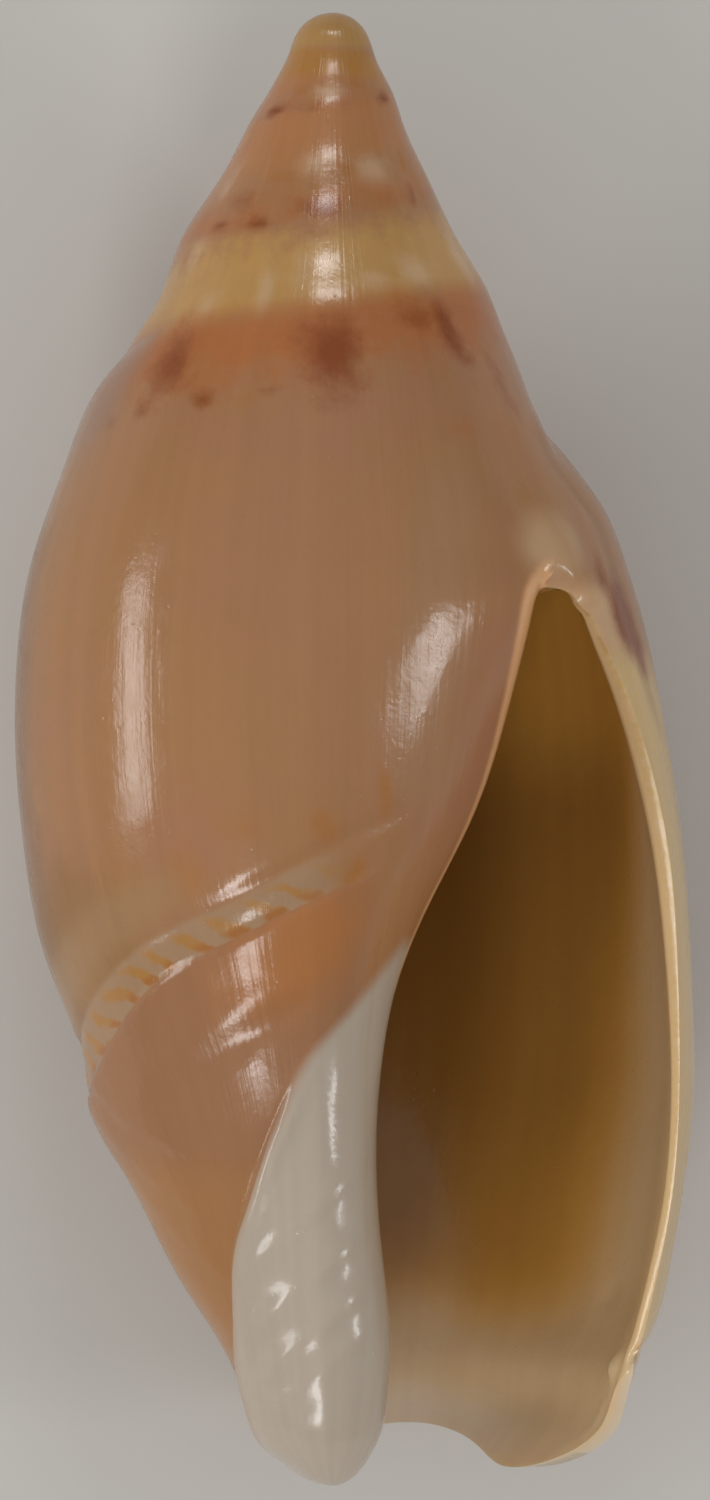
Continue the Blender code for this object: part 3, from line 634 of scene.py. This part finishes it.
def outer_columns(station_row):
    """Angles of the outer surface's columns on a row, from the inner lip round to the outer lip."""
    start, _ = opening_angles(station_row[:, :1])
    _, end = opening_angles(station_row[:, -1:])
    even = np.linspace(0, 1, PILLAR_COLUMNS + 1)
    pillar = even * (0.7 + 0.3 * even)
    to_tip = start + (TIP_ANGLE - start) * pillar
    to_lip = TIP_ANGLE + (end - TIP_ANGLE) * rim_shares()
    return np.concatenate([to_tip, to_lip], axis=1)


def rim_shares():
    """Places of the columns from the columella's tip to the outer lip, closer together towards the lip."""
    return 1 - (1 - np.linspace(0, 1, RIM_COLUMNS + 1)[1:]) ** RIM_CROWDING


def end_stations():
    """Where each outer column ends: at the columella's tip, or on the rim."""
    rim = TIP_ANGLE + (RIM_STATIONS[-1][0] - TIP_ANGLE) * rim_shares()
    return np.concatenate([np.full(PILLAR_COLUMNS + 1, LENGTH), rim_station(rim)])


def open_rows():
    """Shares of the way from the corner of the opening to the front end, closer together at both ends."""
    arch, tip = ARCH_HEIGHT / (LENGTH - CORNER), (TIP_START - CORNER) / (LENGTH - CORNER)
    first = arch * (np.arange(ARCH_ROWS) / ARCH_ROWS) ** 2
    plain = arch + (tip - arch) * np.arange(OPEN_ROWS) / OPEN_ROWS
    last = tip + (1 - tip) * np.sin(np.linspace(0, np.pi / 2, TIP_ROWS + 1))
    return np.concatenate([first, plain, last])[:, None]


def closed_wall():
    """The spire and the shoulder, from the apex to the corner of the opening."""
    dome = DOME_HEIGHT * (1 - np.cos(np.pi / 2 * np.arange(DOME_ROWS) / DOME_ROWS))
    rest = DOME_HEIGHT + (CORNER - DOME_HEIGHT) * np.linspace(0, 1, RING_ROWS + 1)
    station = np.repeat(np.concatenate([dome, rest])[:, None], PILLAR_COLUMNS + RIM_COLUMNS + 1, axis=1)
    theta = outer_columns(station)
    return place(theta, surface_radius(theta, station), station), outer_marks(theta, station)


def open_wall():
    """The outer surface from the corner of the opening to the front end."""
    station = CORNER + open_rows() * (end_stations()[None, :] - CORNER)
    theta = outer_columns(station)
    return place(theta, surface_radius(theta, station), station), outer_marks(theta, station)


def open_hollow():
    """The hollow's wall beside the opening: from the lip in, round its end, and back to the inner lip."""
    rows = open_rows()
    ends = end_stations()[PILLAR_COLUMNS:][::-1]
    station = CORNER + rows * (ends[None, :] - CORNER)
    _, start = opening_angles(station[:, :1])
    end = hollow_end(CORNER + rows * (LENGTH - CORNER))
    steps = hollow_steps()
    theta = start + (end - start) * steps
    middle, half = hollow(theta, station, end)
    depth = np.radians(start - theta) * middle
    marks = inner_marks(depth, depth, FAR + depth, ends[None, :] - station)
    outside = place(theta, middle + half, station), marks
    station = np.repeat(CORNER + rows * (LENGTH - CORNER), RIM_COLUMNS + 1, axis=1)
    start, _ = opening_angles(station[:, :1])
    theta = end - 360 + (start - end + 360) * (1 - steps[:, ::-1])
    middle, half = hollow(theta + 360, station, end)
    radius = np.where(theta < start, middle - half, surface_radius(theta, station))
    radius[-1] = 0
    depth = np.radians(start - theta) * np.maximum(middle, 0.5)
    marks = inner_marks(depth, FAR + depth, depth, FAR + depth)
    marks["pillar"] = outer_marks(start + 0 * theta, station)["pillar"] - 0.5 * depth
    return outside, (place(theta, radius, station), marks)


def hollow_steps():
    """Places of the hollow's columns from the lip to its far end, which match the rim's."""
    return np.concatenate([1 - rim_shares()[::-1], [1.0]])[None, :]


def hollow_ceiling():
    """The upper end of the hollow, above the corner of the opening, where its two walls close together."""
    rows = np.linspace(0, 1, CEILING_ROWS + 1)[:, None]
    end = hollow_end(CORNER)
    start = opening_angles(CORNER)[1] - CEILING_TURN * rises(rows, 0, 1)
    theta = start + (end - start) * hollow_steps()
    station = CORNER + rows * (ceiling(theta) - CORNER)
    middle, half = hollow(theta, station, end)
    half = half * np.sqrt(1 - rows**2) * np.where(rows > 0, quarter_round((start - theta) / 25), 1.0)
    depth = np.radians(start - theta) * middle + CORNER - station
    marks = inner_marks(depth, depth, depth, FAR + depth)
    return (place(theta, middle + half, station), marks), (place(theta, middle - half, station), marks)


def sheet_of(points, marks, name):
    """A primitive grid whose points are moved onto a lofted sheet, with its marks as attributes."""
    rows, columns = points.shape[:2]
    bpy.ops.object.select_all(action="DESELECT")
    bpy.ops.mesh.primitive_grid_add(x_subdivisions=columns - 1, y_subdivisions=rows - 1, size=1)
    sheet = bpy.context.object
    sheet.name = name
    sheet.data.vertices.foreach_set("co", (points * MM).reshape(-1))
    for mark, values in marks.items():
        attribute = sheet.data.attributes.new(mark, "FLOAT", "POINT")
        attribute.data.foreach_set("value", np.broadcast_to(values, (rows, columns)).reshape(-1))
    return sheet


def front_rim(outer, outside):
    """The strip that closes the wall between its two faces along the front end."""
    (outer_points, outer_marked), (points, marked) = outer, outside
    marks = {}
    for name in marked:
        marks[name] = np.stack([outer_marked[name][-1, PILLAR_COLUMNS:], marked[name][-1, ::-1]])
    return np.stack([outer_points[-1, PILLAR_COLUMNS:], points[-1, ::-1]]), marks


outer = open_wall()
outside, inside = open_hollow()
walls = [closed_wall(), outer, outside, inside, *hollow_ceiling(), front_rim(outer, outside)]
sheets = [sheet_of(points, marks, f"sheet_{i}") for i, (points, marks) in enumerate(walls)]
bpy.ops.object.select_all(action="DESELECT")
for sheet in sheets:
    sheet.select_set(True)
bpy.context.view_layer.objects.active = sheets[0]
bpy.ops.object.join()
shell = bpy.context.object
shell.name = "grown_shell"

# The seams are sewn, and a thin slice is taken off the back, where the real shell is worn a little flat and
# rests. Then the shell is set down in the middle of the floor.
REST_CUT = 0.2
SEAM = 0.002
bpy.ops.object.mode_set(mode="EDIT")
bpy.ops.mesh.select_all(action="SELECT")
bpy.ops.mesh.remove_doubles(threshold=SEAM * MM)
bpy.ops.mesh.normals_make_consistent(inside=False)
bpy.ops.object.mode_set(mode="OBJECT")
lowest = min(v.co.z for v in shell.data.vertices) + REST_CUT * MM
bpy.ops.object.mode_set(mode="EDIT")
bpy.ops.mesh.select_all(action="SELECT")
bpy.ops.mesh.bisect(plane_co=(0, 0, lowest), plane_no=(0, 0, -1), use_fill=True, clear_outer=True)
bpy.ops.object.mode_set(mode="OBJECT")
corners = np.empty(len(shell.data.vertices) * 3)
shell.data.vertices.foreach_get("co", corners)
corners = corners.reshape(-1, 3)
middle = (corners.min(axis=0) + corners.max(axis=0)) / 2
corners -= (middle[0], middle[1], corners[:, 2].min())

# The knob inside the outer lip's front end, the notch beside it, and dimples in the corner. Each is a push
# on the points round a place, as (place, reach, push). Only an edge of more degrees than this stays sharp.
SHARP_EDGE = 62
PUSHES = [
    ((6.3, -14.95, 8.1), 0.36, (-0.26, 0.0, 0.14)), ((6.95, -14.8, 9.5), 0.2, (-0.1, 0.0, -0.3)),
    ((6.75, -15.15, 9.4), 0.3, (0.0, 0.0, 0.12)), ((6.1, -13.4, 6.2), 0.35, (0.12, 0.0, -0.08)),
    ((5.55, -16.75, 7.3), 0.16, (-0.06, 0.0, 0.03)), ((5.85, -16.4, 7.6), 0.16, (-0.06, 0.0, 0.03)),
    ((6.1, -16.1, 7.7), 0.15, (-0.05, 0.0, 0.03)), ((5.2, -17.05, 6.9), 0.16, (-0.05, 0.0, 0.04)),
]
for middle, reach, push in PUSHES:
    away = np.linalg.norm(corners - np.array(middle) * MM, axis=1) / (reach * MM)
    corners += np.exp(-(away**2))[:, None] * np.array(push) * MM
shell.data.vertices.foreach_set("co", corners.reshape(-1))
shell.data.update()
bpy.ops.object.shade_smooth_by_angle(angle=math.radians(SHARP_EDGE))
shell.location = (0, 0, 0)

# The glaze: callus of aragonite, which the snail's foot laid over its shell and polished. It is dense, so it
# shines as porcelain does, in sharp lights that show pits and fine lines. A little light goes in, which
# softens the pinkish tan, rust, ochre and white below.
def linear(hex_colour):
    """An sRGB hex colour as linear red, green, blue and alpha."""
    parts = [int(hex_colour[i : i + 2], 16) / 255 for i in (1, 3, 5)]
    return tuple(c / 12.92 if c <= 0.04045 else ((c + 0.055) / 1.055) ** 2.4 for c in parts) + (1.0,)


def add(tree, kind, inputs=(), out=0, **settings):
    """Adds a node with its settings and inputs, and gives the output that is asked for."""
    made = tree.nodes.new("ShaderNode" + kind)
    for name, value in settings.items():
        setattr(made, name, value)
    for socket, value in dict(inputs).items():
        if isinstance(value, bpy.types.NodeSocket):
            tree.links.new(value, made.inputs[socket])
        else:
            made.inputs[socket].default_value = value
    return made.outputs[out]


# A ramp with soft ends, which leaves no edge in the colour.
SMOOTH = {"interpolation_type": "SMOOTHSTEP"}
glaze = bpy.data.materials.new("callus_glazed_aragonite")
glaze.use_nodes = True
nodes = glaze.node_tree
surface = nodes.nodes["Principled BSDF"]
point = add(nodes, "TexCoord", out="Object")
marks = {name: add(nodes, "Attribute", out="Fac", attribute_name=name) for name in walls[0][1]}

# Growth lines run along the shell, so their noise is drawn out: its place is the direction from the axis, on
# a drum as wide as the shell, and only a small share of the distance along the axis.
AXIS_HEIGHT = 7.67
DRUM_RADIUS = 7.0
DRAWN_OUT = 0.04
from_axis = add(nodes, "VectorMath", {0: point, 1: (AXIS_X * MM, 0, AXIS_HEIGHT * MM)}, operation="SUBTRACT")
sideways = add(nodes, "VectorMath", {0: from_axis, 1: (1, 0, 1)}, operation="MULTIPLY")
spoke = add(nodes, "VectorMath", {0: sideways}, operation="NORMALIZE")
spoke = add(nodes, "VectorMath", {0: spoke, "Scale": DRUM_RADIUS * MM}, operation="SCALE")
lengthways = add(nodes, "VectorMath", {0: point, 1: (0, DRAWN_OUT, 0)}, operation="MULTIPLY")
around = add(nodes, "VectorMath", {0: spoke, 1: lengthways}, operation="ADD")

# Smooth noises about nothing, as (name, size of a lump in mm, detail, roughness, place). Real growth lines
# are about 0.05 mm apart, and these are drawn at 0.16 mm so that they show.
NOISES = [
    ("clouds", 5.0, 3.0, 0.5, point), ("ochre_clouds", 2.5, 3.0, 0.5, point),
    ("fine_waver", 0.9, 5.0, 0.68, point), ("broad_waver", 2.4, 3.0, 0.5, point),
    ("flame_drift", 1.4, 3.0, 0.5, point), ("flame_wobble", 0.5, 3.0, 0.5, point),
    ("flame_breaks", 0.6, 4.0, 0.5, point), ("fine_lines", 0.16, 2.0, 0.5, around),
    ("coarse_lines", 0.6, 2.0, 0.5, around), ("swell", 1.6, 1.0, 0.5, point),
    ("skin", 0.14, 1.0, 0.5, point), ("dimples", 0.5, 2.0, 0.5, point),
    ("pit_patches", 1.1, 3.0, 0.5, point),
]
noise = {}
for name, size, detail, rough, where in NOISES:
    texture = {"Vector": where, "Scale": 1 / (size * MM), "Detail": detail, "Roughness": rough}
    value = add(nodes, "TexNoise", texture, out="Fac")
    noise[name] = add(nodes, "Math", {0: value, 1: 0.5}, operation="SUBTRACT")
both = {0: noise["broad_waver"], 1: 0.4, 2: noise["fine_waver"]}
waver = add(nodes, "Math", both, operation="MULTIPLY_ADD")

# Slanting ochre stripes across the banded strip, about one every millimetre, which waver and break up.
FLAME_STEP = 1.02
drift = {0: noise["flame_drift"], 1: 1.2, 2: marks["stripe_place"]}
phase = add(nodes, "Math", drift, operation="MULTIPLY_ADD")
phase = add(nodes, "Math", {0: noise["flame_wobble"], 1: 0.5, 2: phase}, operation="MULTIPLY_ADD")
phase = add(nodes, "Math", {0: phase, 1: math.tau / FLAME_STEP}, operation="MULTIPLY")
wave = add(nodes, "Math", {0: phase}, operation="SINE")
wave = add(nodes, "Math", {0: noise["flame_breaks"], 1: 2.2, 2: wave}, operation="MULTIPLY_ADD")
stripe = add(nodes, "MapRange", {0: wave, 1: -0.6, 2: 1.0}, **SMOOTH)
stripe = add(nodes, "Math", {0: stripe, 1: marks["strip"]}, operation="MULTIPLY")
marks["flames"] = add(nodes, "Math", {0: stripe, 1: marks["flame_end"]}, operation="MULTIPLY")
marks["flame_tips"] = add(nodes, "Math", {0: stripe, 1: marks["flame_tip"]}, operation="MULTIPLY")

# The knob is milky, with an ochre stain beside it and a brown speck on it. Each mark falls from 1 at its
# place to 0 at its reach.
PLACES = [
    ("knob", (6.3, -14.95, 8.2), 0.9), ("notch_stain", (6.8, -14.4, 9.6), 0.5),
    ("speck", (6.36, -15.35, 8.0), 0.16),
]
for name, middle, reach in PLACES:
    spot = tuple(c * MM for c in middle)
    away = add(nodes, "VectorMath", {0: point, 1: spot}, "Value", operation="DISTANCE")
    marks[name] = add(nodes, "MapRange", {0: away, 1: reach * MM, 2: 0.0})

# The hollow darkens inwards, most of all behind the middle of the opening: partly its own browner colour,
# partly painted shade. The ramps are (mark, from, to) in mm.
DARKENING = {
    "deeper_brown_and_shade": [("depth", 0.8, 4.0), ("from_rim", 1.2, 5.5)],
    "deepest_brown_and_shade": [("depth", 1.6, 4.5), ("from_rim", 1.2, 5.5), ("from_rim", 20.0, 15.0)],
}
for name, ramps in DARKENING.items():
    marks[name] = 1.0
    for mark, start, full in ramps:
        ramp = add(nodes, "MapRange", {0: marks[mark], 1: start, 2: full}, **SMOOTH)
        marks[name] = add(nodes, "Math", {0: ramp, 1: marks[name]}, operation="MULTIPLY")

# The body's colour drifts between pinkish tan and ochre tan in clouds of a few millimetres.
BODY_TAN = "#B28054"
BODY_PINK = "#B27D5B"
BODY_OCHRE = "#AF814B"
pinker = add(nodes, "MapRange", {0: noise["clouds"], 1: -0.12, 2: 0.12}, **SMOOTH)
colour = add(nodes, "Mix", {0: pinker, 6: linear(BODY_TAN), 7: linear(BODY_PINK)}, 2, data_type="RGBA")
ochre = add(nodes, "MapRange", {0: noise["ochre_clouds"], 1: 0.0, 2: 0.25, 4: 0.6}, **SMOOTH)
colour = add(nodes, "Mix", {0: ochre, 6: colour, 7: linear(BODY_OCHRE)}, 2, data_type="RGBA")

# What lies over the body's colour, in order, as (mark, waver of its edge, the mark where it begins, the
# mark where it is full, share, colour).
LAYERS = [
    # The pale flank is painted sheen.
    ("pale_flank_painted_sheen", 0.35, 0.1, 1.0, 0.75, "#B28660"),
    # The left edge is partly its own brown, partly painted shade.
    ("left_edge_brown_and_shade", 0.5, 0.1, 1.0, 0.85, "#865E3A"),
    ("side_stain", 0.5, 0.1, 1.0, 0.6, "#946B36"),
    ("pale_ring", 1.5, 0.1, 0.9, 0.95, "#CA9B5B"),
    ("peach", 1.0, 0.1, 1.0, 0.55, "#C4834A"),
    ("milky", 1.2, 0.0, 0.9, 0.55, "#DDBC9A"),
    ("ochre_top", 1.2, 0.0, 1.0, 0.75, "#B98234"),
    ("pink_tip", 1.2, 0.0, 1.0, 0.95, "#BB8F53"),
    ("rust_ring", 1.3, 0.1, 1.0, 0.8, "#B96D35"),
    ("ochre_spots", 0.9, 0.1, 0.9, 0.85, "#B4763A"),
    ("rust_spots", 1.1, 0.05, 0.95, 0.97, "#8F4512"),
    ("shoulder", 0.6, 0.2, 1.1, 0.7, "#A3826E"),
    ("strip_fade", 0.5, 0.1, 1.0, 0.7, "#B08A62"),
    ("strip", 0.3, 0.2, 0.8, 0.95, "#B08C6A"),
    ("flames", 0.0, 0.0, 1.0, 0.8, "#B9823C"),
    ("flame_tips", 0.0, 0.0, 1.0, 0.65, "#A8602A"),
    ("callus", 0.1, 0.3, 0.7, 1.0, "#A97853"),
    ("callus_red", 0.4, 0.1, 1.0, 0.85, "#BF7B40"),
    ("callus_gold", 0.5, 0.1, 1.0, 0.8, "#B17E4D"),
    ("bulge", 0.2, 0.15, 0.9, 0.8, "#CBA67E"),
    ("lip_pale", 0.3, 0.1, 1.0, 0.8, "#E1B98E"),
    ("lip_cream", 0.35, 0.0, 0.85, 0.95, "#E3C082"),
    ("behind_lip", 0.2, 0.1, 0.9, 0.35, "#93632C"),
    ("lip_stain", 0.7, 0.05, 0.8, 1.0, "#8C3F00"),
    ("pillar", 0.12, -0.15, 0.35, 1.0, "#C2B3A1"),
    ("depth", 0.1, 0.25, 1.1, 1.0, "#DBBC92"),
    ("from_rim", 0.3, 1.5, 0.2, 0.9, "#E0CDB4"),
    ("roll", 0.4, 0.1, 0.9, 0.9, "#F4BC88"),
    ("knob", 0.2, 0.1, 0.7, 0.8, "#E6D9BC"),
    ("notch_stain", 0.9, 0.15, 0.8, 0.7, "#B98134"),
    ("speck", 0.3, 0.1, 0.6, 0.7, "#7A5526"),
    # The hollow's inner colours: its own brown with painted shade, darker inwards.
    ("deeper_brown_and_shade", 0.15, 0.0, 1.0, 1.0, "#E3A84C"),
    ("deepest_brown_and_shade", 0.15, 0.0, 1.0, 1.0, "#AD7C39"),
    # Painted light on the shaded wall inside the outer lip.
    ("lip_inside_painted_light", 0.2, 0.1, 1.0, 0.8, "#E6C493"),
]
# A zone's edge wavers only where the zone has begun.
BEGUN = 0.12
for mark, wide, start, full, share, tint in LAYERS:
    wavy = add(nodes, "MapRange", {0: marks[mark], 1: 0.0, 2: BEGUN, 4: wide})
    wavering = add(nodes, "Math", {0: waver, 1: wavy, 2: marks[mark]}, operation="MULTIPLY_ADD")
    weight = add(nodes, "MapRange", {0: wavering, 1: start, 2: full, 4: share}, **SMOOTH)
    colour = add(nodes, "Mix", {0: weight, 6: colour, 7: linear(tint)}, 2, data_type="RGBA")

# The finest relief, in mm: growth lines, which the columella and the hollow hardly have, then the skin's
# unevenness, and pits of about 0.1 mm that come in patches.
LINE_HEIGHTS = {"fine_lines": 0.009, "coarse_lines": 0.01}
SKIN_HEIGHTS = {"skin": 0.0045, "swell": 0.03, "dimples": 0.01}
PIT_SPACING = 0.32
PIT_DEPTH = 0.008
height = 0.0
for name, tall in LINE_HEIGHTS.items():
    height = add(nodes, "Math", {0: noise[name], 1: tall, 2: height}, operation="MULTIPLY_ADD")
off_pillar = add(nodes, "MapRange", {0: marks["pillar"], 1: 0.1, 2: -0.3})
height = add(nodes, "Math", {0: height, 1: off_pillar}, operation="MULTIPLY")
outside_only = add(nodes, "MapRange", {0: marks["depth"], 1: 0.5, 2: 0.0, 3: 0.2})
height = add(nodes, "Math", {0: height, 1: outside_only}, operation="MULTIPLY")
for name, tall in SKIN_HEIGHTS.items():
    height = add(nodes, "Math", {0: noise[name], 1: tall, 2: height}, operation="MULTIPLY_ADD")
pit_places = add(nodes, "TexVoronoi", {"Vector": point, "Scale": 1 / (PIT_SPACING * MM)}, out="Distance")
pits = add(nodes, "MapRange", {0: pit_places, 1: 0.0, 2: 0.2, 3: -1.0, 4: 0.0}, **SMOOTH)
patches = add(nodes, "MapRange", {0: noise["pit_patches"], 1: -0.05, 2: 0.15, 3: 0.1}, **SMOOTH)
pits = add(nodes, "Math", {0: pits, 1: patches}, operation="MULTIPLY")
height = add(nodes, "Math", {0: pits, 1: PIT_DEPTH, 2: height}, operation="MULTIPLY_ADD")
relief_normal = add(nodes, "Bump", {"Height": height, "Strength": 1.0, "Distance": MM}, out="Normal")

# Growth lines show faintly in the colour too, and the polish varies a little.
streaks = add(nodes, "MapRange", {0: noise["coarse_lines"], 1: -0.2, 2: 0.2, 3: 0.965, 4: 1.03})
colour = add(nodes, "VectorMath", {0: colour, "Scale": streaks}, operation="SCALE")
polish = add(nodes, "MapRange", {0: waver, 1: -0.2, 2: 0.2, 3: 0.13, 4: 0.26})
nodes.links.new(colour, surface.inputs["Base Color"])
nodes.links.new(relief_normal, surface.inputs["Normal"])
nodes.links.new(polish, surface.inputs["Roughness"])
GLAZE = {
    "IOR": 1.55, "Specular IOR Level": 0.3, "Coat Weight": 0.2, "Coat Roughness": 0.12, "Coat IOR": 1.55,
    "Subsurface Weight": 0.15, "Subsurface Radius": (1.0, 0.5, 0.25), "Subsurface Scale": 0.5 * MM,
}
for name, value in GLAZE.items():
    surface.inputs[name].default_value = value
shell.data.materials.clear()
shell.data.materials.append(glaze)
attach(shell, "root")
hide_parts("shell")

# The floor: a sheet of plain pale card that the shell lies on, which isn't part of it. Matt card gives a
# soft shadow and hardly any reflection.
FLOOR_SIZE = 2.0
CARD = "#D9D6D0"
bpy.ops.object.select_all(action="DESELECT")
bpy.ops.mesh.primitive_plane_add(size=FLOOR_SIZE, location=(0, 0, 0))
floor = bpy.context.object
floor.name = "floor"
card = bpy.data.materials.new("pale_card")
card.use_nodes = True
card.node_tree.nodes["Principled BSDF"].inputs["Base Color"].default_value = linear(CARD)
card.node_tree.nodes["Principled BSDF"].inputs["Roughness"].default_value = 0.8
floor.data.materials.append(card)

# The studio light: four soft boxes round the shell, where they give the photo's highlights, as (name,
# azimuth, elevation, width, height, brightness, roll), in degrees and metres. The width lies level.
LIGHT_DISTANCE = 0.4
SOFT_BOXES = [
    ("left_box", 181, 20, 0.25, 0.075, 7, 0), ("right_box", -15.5, 37, 0.024, 0.15, 14, -18),
    ("apex_box", 88, 30.5, 0.1, 0.035, 16, 0), ("front_box", -107, 36, 0.07, 0.12, 11, 0),
]
for name, azimuth, elevation, wide, tall, brightness, roll in SOFT_BOXES:
    light = bpy.data.lights.new(name, "AREA")
    light.shape = "RECTANGLE"
    light.size, light.size_y = wide, tall
    light.energy = brightness * wide * tall * math.pi
    box = bpy.data.objects.new(name, light)
    bpy.context.scene.collection.objects.link(box)
    a, e = math.radians(azimuth), math.radians(elevation)
    away = mathutils.Vector((math.cos(a) * math.cos(e), math.sin(a) * math.cos(e), math.sin(e)))
    box.location = away * LIGHT_DISTANCE + mathutils.Vector((0, 0, AXIS_HEIGHT * MM))
    turned = mathutils.Quaternion((0, 0, 1), math.radians(roll))
    box.rotation_euler = (away.to_track_quat("Z", "Y") @ turned).to_euler()
    box.visible_camera = False

# The room's own light is weak, and brighter overhead than at the sides, so that no grey veil lies on the
# glaze.
SIDE_LIGHT = 0.2
OVERHEAD_LIGHT = 0.5
world = bpy.data.worlds.new("studio")
world.use_nodes = True
sky = world.node_tree
upward = add(sky, "SeparateXYZ", {0: add(sky, "TexCoord", out="Generated")}, out="Z")
strength = add(sky, "MapRange", {0: upward, 1: 0.0, 2: 1.0, 3: SIDE_LIGHT, 4: OVERHEAD_LIGHT})
sky.links.new(strength, sky.nodes["Background"].inputs["Strength"])
sky.nodes["Background"].inputs["Color"].default_value = (1, 1, 1, 1)
bpy.context.scene.world = world

# The camera looks straight down with a long lens, and its frame is the photo's: 36.7 mm from top to bottom.
LENS = 250.0
SENSOR = 36.0
FRAME_TALL = 36.68
camera_data = bpy.data.cameras.new("camera")
camera_data.lens = LENS
camera_data.sensor_width = SENSOR
camera = bpy.data.objects.new("camera", camera_data)
bpy.context.scene.collection.objects.link(camera)
camera.location = (0.02 * MM, -0.02 * MM, (AXIS_HEIGHT + LENS * FRAME_TALL / SENSOR) * MM)
bpy.context.scene.camera = camera
bpy.context.scene.view_settings.view_transform = "Standard"
